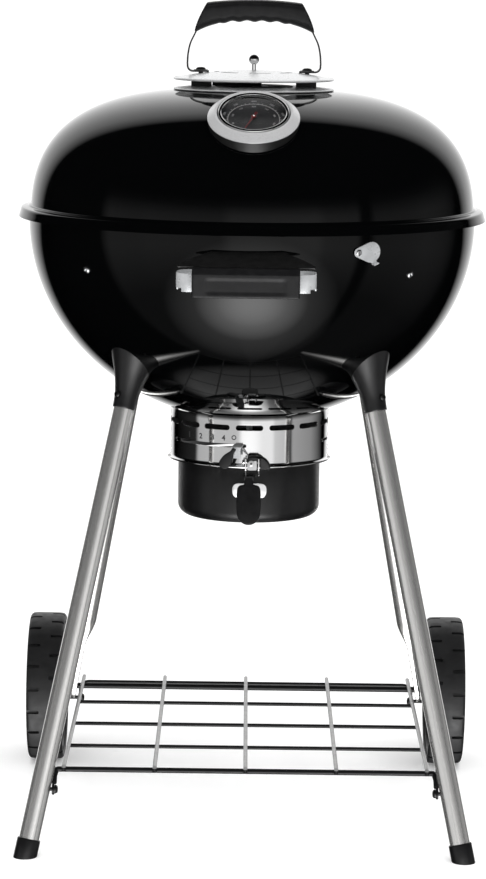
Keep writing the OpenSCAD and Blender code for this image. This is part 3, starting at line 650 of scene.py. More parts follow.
def make_lid_handle():
    straps = []
    for s in (-1, 1):
        outline = [(s * x, z) for x, z in ribbon(strap_line(), 2)]
        strap = moved(prism("strap", outline, -12, 12), turn(90, "X"))
        straps.append(bevelled(strap, 0.5, 2, 50))
    placed(joined("lid_strap", straps), "lid", "grip_black", "screw_black", "lid_handle_strap")

    sections = []
    for u in stations([1, 0.995, 0.985, 0.965], 43, 45):
        inset = end_inset(u, 0.035, 2.6)
        ring = []
        for k in range(72):
            t = 2 * pi * k / 72
            c, d = cos(t), sin(t)
            y = 15 * squared(c, 3.0)
            h = 0.5 + 0.5 * squared(d, 3.4)
            if 0.80 < h < 0.86 and abs(y) > 5:
                y -= copysign(0.7, y)
            half = 76.4 - 14.6 * h ** 1.3
            x = u * half
            ripple = 0.5 * (1 + cos(pi * clamped((abs(x) - 42) / 8, 0, 1)))
            low = 1011 + 15.4 * (1 - (abs(x) / 76.5) ** 3)
            low -= 0.95 * cos(2 * pi * x / FINGER_PITCH) * ripple
            top = HANDLE_TOP_Z - GRIP_TOP_CURVE + sqrt(GRIP_TOP_CURVE ** 2 - x * x)
            middle = (low + top) / 2
            scale_y, scale_z = 1 - inset / 15, 1 - inset / (top - low) * 2
            ring.append((x, y * scale_y, middle + (low + (top - low) * h - middle) * scale_z))
        sections.append(ring)
    placed(loft("lid_grip", sections), "lid", "grip_black", "grip_black", "lid_handle_grip", sharp=60)

    bolts = []
    for s in (-1, 1):
        bolts.append(moved(screw(6.5, 4, 24), shift(s * BOLT_X, 0, STRAP_FOOT_Z + 1.1)))
        washer = lathe("washer", [(3, 0), (9, 0), (9, 0.9), (8.6, 1.1), (3, 1.1)], steps=48)
        bolts.append(moved(washer, shift(s * BOLT_X, 0, STRAP_FOOT_Z + 0.9)))
        bolts.append(moved(bevelled(prism("nut", hexagon(6), 0, 5), 0.5, 2), shift(s * BOLT_X, 0, 930)))
    placed(joined("handle_screws", bolts), "lid", "screw_black", "screw_black", "handle_bolts")


def make_damper():
    """Turning disc under the shield, with its hub, thumb vane, stem and ball."""
    z = PLATE_Z + 2.3
    disc = lathe("disc", loop_rounded(box(2, 50, z, z + 1.2), 0.4), steps=160)
    boolean(disc, vent_cutters(z - 1, z + 3, extra=20))
    hub = lathe("hub", [(0, z + 0.2), (9.6, z + 0.2), (10, z + 0.8), (10, z + 11), (9, z + 12.5), (0, z + 12.5)],
                steps=64)
    vane = moved(prism("vane", loop_rounded(box(-53, -2, -4, 4), 3), 0, 12), shift(0, 0, z + 0.4))
    bevelled(vane, 0.8, 2)
    placed(joined("damper_disc", [disc, hub, vane]), "damper", "grip_black", "grip_black", "vent_damper")
    stem = lathe("damper_stem", box(0, 2.75, 955, 974), steps=32)
    placed(stem, "damper", "steel_polished", "steel_polished")
    ball = [(6.75 * sin(radians(a)), 978 + 6.75 * cos(radians(a))) for a in range(0, 158, 6)]
    ball += [(2.9, 971.6), (2.9, 974.4), (0, 974.4)]
    placed(lathe("damper_ball", ball, steps=64), "damper", "steel_polished", "steel_polished",
           "damper_knob")


# ---------------------------------------------------------------- thermometer

GAUGE = shift(*GAUGE_POS) @ turn(DIAL_TILT, "X")


def number(word, size, place, angle, lift, weight=0.0):
    """A printed number lying flat, turned about +Z and lifted off its surface."""
    curve = bpy.data.curves.new("number", "FONT")
    curve.body, curve.size, curve.align_x, curve.align_y = word, size * MM, "CENTER", "CENTER"
    curve.extrude, curve.resolution_u, curve.offset = 0.00004, 3, weight
    holder = linked("number", curve)
    graph = bpy.context.evaluated_depsgraph_get()
    mesh = bpy.data.meshes.new_from_object(holder.evaluated_get(graph))
    bpy.data.objects.remove(holder)
    return moved(linked("number", mesh), shift(place[0], place[1], lift) @ turn(angle, "Z"))


def make_gauge():
    bezel = lathe("bezel", loop_rounded([(44.9, 5.4), (44.9, 9), (46.4, 9.6), (48.2, 9.6), (56.5, 1.8), (56.5, 0.4),
                                         (47, 0.4), (47, 5.4)], 0.6), steps=192)
    moved(bezel, GAUGE)
    inside = lathe("inside", [(0, 700)] + [(r, z) for r, z in [(LID_R, 700)] + crown(-0.15)], steps=192)
    boolean(bezel, inside)
    placed(bezel, "lid", "steel_brushed", "bezel_steel", "thermometer_bezel")
    skirt = moved(lathe("skirt", box(47, 56.2, 0.3, -2.5), steps=192), GAUGE)
    placed(skirt, "lid", "grip_black", "screw_black")

    ring = lathe("dial_ring", [(38.9, 5.2), (43.9, 5.2), (43.9, 8.2)] + arc(41.4, 8.6, 2.4, 0, 180, 14) +
                 [(38.9, 8.2)], steps=160)
    placed(moved(ring, GAUGE), "lid", "steel_polished", "steel_polished", "thermometer_ring")

    face = lathe("dial_plate", [(0, -0.9), (42.2, -0.9), (42.2, -0.1), (42, 0), (1, 0), (1, 4.6), (0, 4.6)],
                 steps=128)
    placed(moved(face, GAUGE), "lid", "dial_grey", "dial_grey", "thermometer_dial")

    turns = range(DIAL_START - DIAL_SWEEP, DIAL_START + 1, 4)
    line = [polar(31.1, a) for a in turns] + [polar(30.4, a) for a in reversed(turns)]
    marks = [prism("line", line, 0.0, 0.12)]
    for k in range(DIAL_TICKS + 1):
        tick = prism("tick", box(31.0, 31.0 + (2.4 if k % 4 == 0 else 1.4), -0.28, 0.28), 0.0, 0.12)
        marks.append(moved(tick, turn(DIAL_START - k * DIAL_SWEEP / DIAL_TICKS, "Z")))
    for k in range(1, 8):
        a = DIAL_START - (k * 4 - 2) * DIAL_SWEEP / DIAL_TICKS
        for step, size, r in ((100, 4.3, 36.2), (50, 3.5, 25.6)):
            marks.append(number(str(step * k), size, polar(r, a), a - 90, 0.04))
    placed(moved(joined("dial_marks", marks), GAUGE), "lid", "dial_grey", "dial_mark")

    glass = lathe("dial_lens", [(0, 9), (38.6, 9), (38.6, 9.8), (38.3, 10), (0, 10)], steps=128)
    placed(moved(glass, GAUGE), "lid", "lens_clear", "lens_clear", "thermometer_lens")

    blade = bevelled(prism("blade", [(-1.7, -9), (-1.2, -9.5), (1.2, -9.5), (1.7, -9), (1.2, 0), (0.5, 26.6),
                                     (0, 27), (-0.5, 26.6), (-1.2, 0)], 3.4, 4.1), 0.12, 1)
    boss = lathe("boss", [(1.1, 4.8), (1.6, 4.8), (2.8, 4.5), (3.2, 4.1), (3.2, 3.4), (1.1, 3.4)], steps=48)
    needle = moved(joined("needle", [blade, boss]), GAUGE @ turn(NEEDLE_ANGLE, "Z"))
    placed(needle, "gauge_needle", "needle_red", "needle_red", "thermometer_needle")
    pin = lathe("needle_pin", [(0, 5.6), (1, 5.5), (1.6, 5.1), (1.6, 4.9), (0.8, 4.8), (0.8, 4.5), (0, 4.5)],
                steps=32)
    placed(moved(pin, GAUGE), "lid", "screw_steel", "screw_steel")


# ---------------------------------------------------------------- bowl

def make_bowl():
    def curve(gap, steps=56):
        out = []
        for k in range(steps + 1):
            a = pi / 2 * k / steps
            out.append(((BOWL_R - gap) * (0 if k == steps else cos(a)),
                        BOWL_Z - (BOWL_DEPTH - gap) * sin(a)))
        return out
    profile = curve(0)[::-1] + arc(*RIM_BEAD, RIM_BEAD_R, -128, 178, 28) + curve(SHEET)
    bowl = lathe("bowl_skin", profile, steps=256)
    cutters = [sector(34, 84, 500, 545, i * 120 + 40, i * 120 + 80) for i in range(3)]
    cutters.append(lathe("cutter", box(0, 4.05, 500, 540), steps=32))
    port = lathe("cutter", box(0, 8, -6, 6), steps=32)
    cutters.append(moved(port, on_bowl(PORT_ANGLE, PORT_Z)))
    boolean(bowl, joined("cutters", cutters))
    placed(bowl, "stand", "enamel_black", "enamel_black", "bowl_shell", sharp=50)

    heads = [moved(screw(4.6, 2.8, 12), on_bowl(a, 724) @ shift(0, 0, 0.1)) for a in (45, 135, 225, 315)]
    placed(with_bowl(joined("bracket_screw_heads", heads)), "stand", "screw_steel", "screw_steel", "bracket_screws")

    lean = degrees(acos((FLAP_R - FLAP_TIP_R) / PORT_REACH))
    cover = arc(0, 0, FLAP_R, lean - 180, 180 - lean, 36)
    cover += arc(-PORT_REACH, 0, FLAP_TIP_R, 180 - lean, 180 + lean, 14)
    plate = bevelled(prism("plate", cover, 0.4, 1.9), 0.4, 2)
    tab = bevelled(prism("tab", loop_rounded(box(-3.5, 3.5, -16, -9), 1.2), 0.45, 1.85), 0.3, 2)
    lip = bevelled(prism("lip", loop_rounded(box(-3.5, 3.5, -16, -14.6), 0.5), 0.5, 6.8), 0.3, 2)
    moved(tab, turn(22, "Z"))
    moved(lip, turn(22, "Z"))
    placed(moved(joined("port_flap", [plate, tab, lip]), on_bowl(PORT_ANGLE, PORT_Z)), "port", "steel_polished",
           "bracket_steel", "port_cover")
    rivet = moved(screw(4, 1.7, 3, socket=False), on_bowl(PORT_ANGLE, PORT_Z) @ shift(-PORT_REACH, 0, 2.0))
    placed(rivet, "stand", "screw_steel", "screw_steel", "port_rivet")


def leg_low(sx, sy):
    return Vector((sx * FOOT_XY, -FOOT_XY, 0)) if sy < 0 else Vector((sx * TAB_X, AXLE_Y, AXLE_Z))


def leg_high(sx, sy):
    return Vector((sx * SOCKET_XY, sy * SOCKET_XY, SOCKET_Z))


def leg_at(sx, sy, z):
    a, b = leg_low(sx, sy), leg_high(sx, sy)
    return a + (b - a) * (z - a.z) / (b.z - a.z)


def make_legs():
    for sx, side in ((-1, "left"), (1, "right")):
        for sy, end in ((-1, "front"), (1, "rear")):
            flank = smooth([(14.1, 0.4), (14.5, 10), (15.6, 20), (18.2, 32), (22.5, 46), (30, 66)])
            cone = [(0, 0), (13.7, 0)] + flank + [(36, 84), (36, 112), (0, 112)]
            socket = moved(lathe("socket_" + end + "_" + side, cone, steps=96),
                           along(leg_at(sx, sy, 547), leg_high(sx, sy)))
            belly = [(BOWL_R * cos(a), BOWL_Z - BOWL_DEPTH * sin(a))
                     for a in [radians(88 - 88 * k / 44) for k in range(45)]]
            ball = lathe("ball", [(0, BOWL_Z - BOWL_DEPTH)] + belly + [(BOWL_R, 900), (0, 900)], steps=192)
            boolean(socket, ball)
            top = prism("cutter", box(-400, 400, -400, 400), BOWL_Z - 147, 900)
            boolean(socket, top)
            placed(socket, "stand", "socket_black", "socket_black", "leg_socket_" + end + "_" + side, sharp=45)

        a, b = leg_at(sx, -1, 4), leg_at(sx, -1, LEG_TOP_Z)
        path = [a + (b - a) * k / 24 for k in range(25)]
        placed(tube("leg_tube_front_" + side, path, LEG_R, 96, ends=False), "stand", "steel_brushed", "leg_steel",
               "leg_front_" + side)
        make_rear_leg(sx, side)
        make_foot(sx, side)

    heads = []
    for sx in (-1, 1):
        for sy in (-1, 1):
            frame_at = along(leg_at(sx, sy, 562), leg_high(sx, sy)) @ turn(-90, "Y")
            heads.append(moved(screw(4.5, 2.6, 8), frame_at @ shift(0, 0, 15.8)))
    placed(joined("socket_screw_heads", heads), "stand", "screw_black", "screw_black", "socket_screws")


def make_rear_leg(sx, side):
    """Round tube that turns flat towards the axle."""
    origin, high = leg_low(sx, 1), leg_high(sx, 1)
    up = (high - origin).normalized()
    out = Vector((1, 0, 0))
    out = (out - up * out.dot(up)).normalized()
    fore = up.cross(out)
    length = (leg_at(sx, 1, LEG_TOP_Z) - origin).length
    thick, wide, tip, flat_end, round_from = 3.5, 13.5, -4.5, 66, 104
    steps = [tip - wide + wide * (1 - cos(radians(a))) for a in range(0, 91, 9)]
    steps += [10, 30, 50, flat_end] + [flat_end + (round_from - flat_end) * k / 16 for k in range(1, 17)] + \
             [round_from + (length - round_from) * k / 18 for k in range(1, 19)]
    sections = []
    for s in steps:
        t = clamped((s - flat_end) / (round_from - flat_end), 0, 1)
        t = t * t * (3 - 2 * t)
        a, b = thick + (LEG_R - thick) * t, wide + (LEG_R - wide) * t
        if s < tip:
            b = max(0.8, wide * sqrt(max(0, 1 - ((tip - s) / wide) ** 2)))
        power = 2 + 5 * (1 - t)
        ring = []
        for k in range(96):
            q = 2 * pi * k / 96
            x, y = a * squared(cos(q), power), b * squared(sin(q), power)
            ring.append(origin + up * s + out * x + fore * y)
        sections.append(ring)
    placed(loft("leg_tube_rear_" + side, sections), "stand", "steel_brushed", "leg_steel", "leg_rear_" + side,
           sharp=50)


def make_foot(sx, side):
    """Plastic cap whose sole is flat on the ground."""
    low, high = leg_low(sx, -1), leg_high(sx, -1)
    axis = (high - low).normalized()
    outer = [(0, -12), (14.5, -12), (14.5, 21.4), (14.2, 22.4), (13.4, 23), (12.6, 23), (12.6, 4.5), (0, 4.5)]
    cap = moved(lathe("foot_" + side, outer, steps=96), along(low, high))
    ground = prism("cutter", box(low.x - 60, low.x + 60, low.y - 60, low.y + 60), -60, 0)
    boolean(cap, ground)
    bevelled(cap, 0.9, 3, 35)
    placed(cap, "stand", "grip_black", "socket_black", "foot_cap_" + side, sharp=45)


# ---------------------------------------------------------------- front handle

def bracket_line():
    bend = smooth([(71, -276.2), (77, -279), (81.6, -288), (83, -298), (83, -317)])
    return [(48, -280.4), (66, -276.6)] + bend + arc(69, -317, 14, -10, -90, 9) + [(40, -331), (0, -331)]


def make_front_handle():
    halves = []
    for s in (-1, 1):
        outline = [(s * x, y) for x, y in ribbon(bracket_line(), 2)]
        halves.append(prism("half", outline, 712, 734))
        notch = prism("cutter", box(s * 77, s * 90, -335, -300), 700, 716.5)
        boolean(halves[-1], notch)
        bevelled(halves[-1], 0.35, 2, 50)
    placed(with_bowl(joined("handle_bracket", halves)), "stand", "steel_brushed", "bracket_steel",
           "front_handle_bracket")

    sections = []
    outline = rounded_box_path()
    for u in stations([1, 0.997, 0.99, 0.975], 38, 40):
        inset = end_inset(u, 0.03, 2.0)
        x = u * 64.5
        ring = []
        for y, z in outline:
            panel = 0.9 * clamped((50 - abs(x)) / 6, 0, 1) if y < -341.5 and 711 < z < 729 else 0.0
            ring.append((x, -332.2 + (y + 332.2) * (1 - inset / 10) + panel, 723.4 + (z - 723.4) * (1 - inset / 17)))
        sections.append(ring)
    placed(with_bowl(loft("front_grip", sections)), "stand", "grip_black", "grip_black", "front_handle_grip",
           sharp=45)

    shape = [(-44, 0), (44, 0), (70, -20), (83, -33), (83, -37), (-83, -37), (-83, -33), (-70, -20)]
    guard = bevelled(prism("heat_guard", loop_rounded(shape, 3), 0, 2), 0.5, 2)
    moved(guard, turn(BOWL_TURN, "Z") @ shift(0, -287.5, 755.6) @ turn(degrees(atan2(17, 36)), "X"))
    placed(guard, "stand", "grip_black", "screw_black", "front_handle_guard")

    heads = [moved(screw(4.8, 2.8, 8), on_bowl(s * 12.4, 723) @ shift(0, 0, 5.3)) for s in (-1, 1)]
    placed(with_bowl(joined("front_screw_heads", heads)), "stand", "screw_steel", "screw_steel",
           "front_handle_screws")


def rounded_box_path():
    """Section of the front grip in Y and Z, with a sloping top edge at the front."""
    corners = [(-342.5, 706), (-342.5, 734.5), (-336, 741), (-322, 741), (-322, 706)]
    return divided(loop_rounded(corners, 2.2, 5), dist)


# ---------------------------------------------------------------- air ring, pan and sweeper

def ring_slot(angle, span, z, half_height):
    """Radial cutter for a slot with round ends, through the ring's wall at an angle from the front."""
    outline = []
    reach = degrees(half_height / RING_R)
    for middle, turns in ((span - reach, range(-80, 81, 20)), (reach - span, range(100, 261, 20))):
        outline += [(middle + reach * cos(radians(t)), half_height * sin(radians(t))) for t in turns]
    dense = divided(outline, lambda a, b: abs(b[0] - a[0]))
    sections = []
    for r in (RING_R - 6, RING_R + 6):
        sections.append([(r * sin(radians(angle + q)), -r * cos(radians(angle + q)), z + h) for q, h in dense])
    return loft("cutter", sections)


def long_slot(obj, low, high, z, half_height):
    """Cuts a slot too long for one flat-ended cutter, as a row of short ones that overlap."""
    for k in range(5):
        boolean(obj, ring_slot(low + 9 + (high - low - 18) * k / 4, 9, z, half_height))


def make_air_ring():
    foot = [(-RING_WALL, 0.4), (-1, 0), (3, 0), (3.4, 0.5), (3.4, 1.6), (3, 2.2), (1, 3.2), (0.2, 4.4), (0, 6)]
    edge = [(0, -0.7), (-0.3, -0.1), (-0.7, 0), (-1.1, -0.1), (-RING_WALL, -0.7)]
    bands = [488, 498, 511.6, 520.4]
    profile = [(RING_R + r, RING_LOW_Z + z) for r, z in foot] + [(RING_R, z) for z in bands]
    profile += [(RING_R + r, RING_TOP_Z + z) for r, z in edge] + [(RING_R - RING_WALL, z) for z in bands[::-1]]
    ring = lathe("air_ring_skin", profile, steps=288)
    # Thin dark band just inside the ring's wall, cut with the same slots: a sheet of painted shade, so that the
    # slots look dark inside.
    slot_shade_liner = lathe("slot_shade_liner", box(RING_R - 1.7, RING_R - 1.42, 487, 523), steps=144)
    for obj in (ring, slot_shade_liner):
        cutters = [ring_slot(i * 360 / RING_SLOTS, 9.8, 516, 3.5) for i in range(RING_SLOTS)]
        boolean(obj, joined("cutters", cutters))
        long_slot(obj, LEVER_ANGLE - LEVER_BACK, LEVER_ANGLE + LEVER_ON, LEVER_Z, 2.4)
        long_slot(obj, *SIDE_SLOT, LEVER_Z, 1.8)
    placed(ring, "stand", "steel_polished", "steel_polished", "air_ring", sharp=45)
    placed(slot_shade_liner, "stand", "steel_polished", "mark_dark")

    marks = []
    for digit, angle in (("1", -48), ("2", -37), ("3", -27), ("4", -18.6)):
        marks.append(on_ring(number(digit, 9.6, (0, 0), 0, 0, 0.00022), angle, 502.2))
    marks.append(on_ring(lathe("circle", box(1.984, 3.1, 0, 0.04), steps=24), -11, 503.5))
    placed(joined("ring_marks", marks), "stand", "steel_polished", "mark_dark")


def on_ring(flat, angle, z):
    """Wraps a flat mark, upright in its own XY plane, round the outside of the ring."""
    for v in flat.data.vertices:
        a = radians(angle) + v.co.x / (RING_R * MM)
        r = (RING_R + 0.12) * MM + v.co.z
        v.co = Vector((r * sin(a), -r * cos(a), z * MM + v.co.y))
    return flat


def paddle(name, side, width, depth, turns, low, high):
    """Hanging paddle: one side from its root, a round end, and the same side mirrored."""
    side, middle = smooth(side), side[-1][1]
    tail = [(width * cos(radians(a)), middle + depth * sin(radians(a))) for a in turns]
    return prism(name, side + tail + [(-x, y) for x, y in side[::-1]], low, high)


def make_pan():
    low = PAN_TOP_Z - PAN_H
    edge = [(0, -0.8), (-0.3, -0.2), (-0.8, 0), (-2.6, 0), (-3, -0.4), (-3, -1.6), (-2.6, -2), (-1.4, -2.4)]
    profile = [(0, low)] + arc(PAN_R - 14, low + 14, 14, -90, 0, 14)
    profile += [(PAN_R + r, PAN_TOP_Z + z) for r, z in edge]
    profile += arc(PAN_R - 14, low + 14, 12.6, 0, -90, 14) + [(0, low + 1.4)]
    placed(lathe("ash_pan_skin", profile, steps=224), "pan", "pan_black", "pan_black", "ash_pan", sharp=50)

    side = [(-5.2, 2), (-5.4, -6), (-7, -9.5), (-13.6, -12), (-15.2, -20), (-15.6, -34), (-15, -44)]
    blade = bevelled(paddle("paddle", side, 15.2, 16.2, range(190, 351, 10), -4.5, 4.5), 2.4, 5, 35)
    moved(blade, shift(0, -101, 452) @ turn(-13, "X") @ turn(90, "X"))
    root = bevelled(prism("root", loop_rounded(box(-7.2, 7.2, -105.5, -92.1), 1.5), 449, 455.3), 0.8, 3)
    placed(joined("pan_grip", [blade, root]), "pan", "grip_black", "grip_black", "pan_handle", sharp=45)

    oval = loop_rounded(box(-21.2, 22.8, 425.5, 444.5), 9.4, 8)
    plate = moved(prism("plate", oval, 96, 97.6), turn(90, "X"))
    placed(bevelled(plate, 0.5, 3), "pan", "steel_polished", "steel_polished", "pan_handle_plate")


def make_latch():
    hood = [(-2.6, 466), (-2.6, 478)] + arc(2, 478, 4.5, 172, 96, 5) + arc(11, 466, 16.5, 88, 12, 10) + \
        [(26.8, 466), (13.8, 466), (13.8, 480.8), (10.6, 480.8), (10.6, 466)]
    body = moved(prism("thumb_latch", hood, 110, 122), turn(90, "X"))
    bevelled(body, 1.4, 4, 40)
    placed(body, "latch", "grip_black", "grip_black", "pan_latch", sharp=45)
    plate = prism("plate", loop_rounded([(-2.2, 465), (9.6, 465), (9.6, 477.4), (-2.2, 474.6)], 1.5), 122, 122.5)
    disc = lathe("disc", [(0, 0.5), (3.5, 0.5), (4, 1), (4, 1.6), (3.4, 2), (0, 2)], steps=40)
    rivet = lathe("rivet", [(0, 1.9), (1.5, 1.9), (1.2, 2.6), (0, 2.7)], steps=24)
    place = shift(2.6, -121.6, 473.5) @ turn(90, "X")
    placed(joined("latch_face", [moved(plate, turn(90, "X")), moved(disc, place)]), "latch", "steel_polished",
           "bezel_steel")
    placed(moved(rivet, place), "latch", "steel_polished", "mark_dark")

    ear = [(-93.4, 463.9), (-107.6, 463.9), (-107.6, 480), (-118, 480), (-118, 464), (-108, 455.6), (-93.4, 455.6)]
    parts = []
    spin = Matrix(((0, 0, 1, 0), (1, 0, 0, 0), (0, 1, 0, 0), (0, 0, 0, 1)))
    for x in (-5.2, 11.2):
        parts.append(moved(bevelled(prism("ear", loop_rounded(ear, 1.5), x, x + 1.8), 0.3, 2), spin))
    pin = bevelled(lathe("pin", box(0, 2, -7, 15), steps=32), 0.4, 2)
    head = lathe("pin_head", [(0, -9), (2.6, -8.7), (3.4, -7.8), (3.4, -6.6), (0, -6.6)], steps=32)
    parts += [moved(obj, shift(0, *LATCH_PIN) @ turn(90, "Y")) for obj in (pin, head)]
    placed(joined("latch_ears", parts), "pan", "steel_polished", "steel_polished", "latch_bracket")

    line = rounded([(0, -109.1, 479.5), (-3, -109.1, 483), (-8.5, -109.1, 489.5)], 2)
    placed(tube("latch_spring", line, 0.8, 16), "latch", "screw_steel", "screw_steel", "latch_wire")


def make_sweeper_grip():
    side = [(-2.6, 2), (-2.8, -4), (-4.6, -8), (-6.8, -14), (-7.2, -21)]
    grip = bevelled(paddle("sweeper_paddle", side, 7.1, 7.2, range(192, 349, 12), 0.6, 8.6), 2.2, 4, 35)
    moved(grip, turn(LEVER_ANGLE, "Z") @ shift(-2.4, -118.5, LEVER_Z - 2) @ turn(33, "Y") @ turn(90, "X"))
    placed(grip, "sweeper", "grip_black", "grip_black", "sweeper_grip", sharp=45)


# ---------------------------------------------------------------- wheels, axle and shelf

def on_axle(side, x):
    """Frame on the axle line at x from the middle, whose +Z points outwards on that side."""
    base = shift(x, AXLE_Y, AXLE_Z) @ turn(90, "Y")
    return base if side > 0 else Matrix.Scale(-1, 4, Vector((1, 0, 0))) @ base


def make_wheel(side, word):
    inner, body = TRACK_W / 2 - WHEEL_W, word + "_wheel"
    disc = lathe("disc", loop_rounded([(4.05, 0.2), (14, 0.2), (16, 20), (40, 19.5), (80, 17), (84, 3), (90, 3),
                                       (90, 45), (84, 45), (80, 24), (50, 26), (26, 27), (26, 46), (22.7, 46),
                                       (22.7, 38.4), (4.05, 38.4)], 1.4, 3), steps=160)
    ribs = []
    for i in range(SPOKES):
        for low, high, start, edge, slope in ((6, 19, 12, 6, 8), (24, 37, 25, 37, -9)):
            rib = prism("rib", loop_rounded(box(start, 84, -1.8, 1.8), 1), low, high)
            for v in rib.data.vertices:
                if abs(v.co.z / MM - edge) < 1:
                    v.co.z = (edge + slope * clamped((v.co.x / MM - start) / (84 - start), 0, 1)) * MM
            ribs.append(moved(bevelled(rib, 0.5, 2), turn(i * 360 / SPOKES, "Z")))
    placed(moved(joined("wheel_disc_" + word, [disc] + ribs), on_axle(side, inner)), body, "wheel_black",
           "wheel_black", "wheel_" + word, sharp=35)

    w, r = WHEEL_W, WHEEL_R
    half = [(90.1, 1.6), (93, 1.2)] + arc(r - 6, 5.6, 5.6, -100, -15, 8) + [(r - 0.1, 9)]
    tyre = lathe("tyre_" + word, half + [(r, w / 2)] + [(x, w - z) for x, z in half[::-1]], steps=320)
    cuts = []
    for i in range(LUGS):
        for row, (z0, z1) in enumerate(((-3, 17.5), (w - 17.5, w + 3))):
            block = prism("cutter", loop_rounded(box(z0, z1, -2.5, 2.5), 1.6, 3), r - 4.2, r + 5)
            cuts.append(moved(block, turn((i + row / 2) * 360 / LUGS, "Z") @ turn(90, "Y") @ turn(180, "Z")))
    boolean(tyre, joined("cutters", cuts))
    placed(moved(tyre, on_axle(side, inner)), body, "tyre_black", "tyre_black", "tyre_" + word, sharp=32)

    cap = lathe("cap_" + word, [(0, 0.6), (22.3, 0.6), (22.5, 1), (22.4, 2.0), (21, 3.2), (18.5, 4.1), (17.6, 3.7),
                                (16.8, 4.2), (10, 4.7), (0, 4.9)], steps=96)
    placed(moved(cap, on_axle(side, TRACK_W / 2 - 5)), body, "wheel_black", "wheel_black", "hub_cap_" + word)


def make_shelf():
    parts = []
    for y in (-118.5, 4, 129):
        parts.append(tube("rod", [(-229.5 + 459 * k / 8, y, SHELF_Z) for k in range(9)], 2.5, 24))
    parts.append(tube("rod", rounded([(-230.5, AXLE_Y + 8, 89), (-230.5, 252, 98), (-222, 255, SHELF_Z),
                                      (222, 255, SHELF_Z), (230.5, 252, 98), (230.5, AXLE_Y + 8, 89)], 9), 2.3, 24))
    eye_y = leg_at(1, -1, 82).y
    parts.append(tube("rail", rounded([(-237.6, eye_y + 2, 88), (-237.4, RAIL_Y - 4, 97), (-235, RAIL_Y, SHELF_Z),
                                       (235, RAIL_Y, SHELF_Z), (237.4, RAIL_Y - 4, 97), (237.6, eye_y + 2, 88)], 3),
                      3.4, 24))
    eyes = [(s, s * x, y, z) for s in (-1, 1) for x, y, z in ((237, eye_y, 82), (229, AXLE_Y + 3, 84))]
    for s, x, y, z in eyes:
        eye = lathe("eye", loop_rounded(box(3.05, 7, 0, 3), 0.7), steps=48)
        parts.append(moved(eye, shift(x, y, z) @ turn(s * 90, "Y")))
    placed(joined("shelf_frame", parts), "stand", "wire_black", "wire_black", "wire_shelf")

    wires = []
    for x in WIRE_XS:
        line = rounded([(x, RAIL_Y - 4.6, SHELF_Z - 1.5), (x, RAIL_Y - 4.8, WIRE_Z), (x, 272, WIRE_Z)], 3.2, 8)
        line = line[:-1] + [Vector((x, -200 + 472 * q / 8, WIRE_Z)) for q in range(9)]
        wires.append(tube("wire", line, 2.6, 24))
    # The long wires take the grey painted sheen; their tips keep the wire's own black.
    placed(joined("shelf_wires", wires), "stand", "wire_black", "wire_grey")
    tips = [moved(lathe("tip", box(0, 2.7, 0, 4.5), steps=24), shift(x, RAIL_Y - 4.8, SHELF_Z - 1.2))
            for x in WIRE_XS]
    placed(joined("wire_tips", tips), "stand", "wire_black", "wire_black")

    bolts = [moved(screw(5.5, 4, 18), shift(x - s * 0.4, y, z) @ turn(-s * 90, "Y")) for s, x, y, z in eyes]
    placed(joined("shelf_screws", bolts), "stand", "screw_black", "screw_black", "shelf_bolts")


# ---------------------------------------------------------------- the object

make_lid()
make_lid_handle()
make_damper()
make_gauge()
make_bowl()
make_legs()
make_front_handle()
make_air_ring()
make_pan()
make_latch()
make_sweeper_grip()
for side, word in ((-1, "left"), (1, "right")):
    make_wheel(side, word)
make_shelf()

# CAD pieces that are kept as they are, with the finish of each
KEPT = {
    "thermometer_case": "screw_black", "thermometer_probe": "screw_steel", "grate_brackets": "bracket_steel",
    "pan_clip": "bracket_steel", "axle": "wire_black", "axle_nuts": "screw_black",
    "cooking_grate": "grate_plated", "charcoal_grate": "grate_steel", "sweeper_blades": "blade_steel",
    "sweeper_arm": "bracket_steel",
}
for node, finish in KEPT.items():
    for material_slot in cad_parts[node].material_slots:
        material_slot.material = MATERIAL[finish]


# ---------------------------------------------------------------- floor, light and surroundings

def make_floor():
    floor = build("floor", [(-9000, -9000, 0), (9000, -9000, 0), (9000, 9000, 0), (-9000, 9000, 0)], [(0, 1, 2, 3)])
    s = Surface("floor_white", (0.93, 0.93, 0.93), 0.9, specular=0.0)
    s.tint(s.noise(0.5, 3), (0.95, 0.95, 0.95))
    s.shader.inputs["Emission Color"].default_value = (1, 1, 1, 1)
    s.shader.inputs["Emission Strength"].default_value = 0.14
    floor.data.materials.append(s.material)
    floor.visible_glossy = False


def soft_box(name, place, aim, size, power):
    light = bpy.data.lights.new(name, "AREA")
    light.shape, light.size, light.size_y, light.energy = "RECTANGLE", size[0], size[1], power
    obj = linked(name, light)
    obj.location = place
    obj.rotation_euler = (Vector(aim) - Vector(place)).to_track_quat("-Z", "Y").to_euler()
    obj.visible_camera = obj.visible_glossy = False


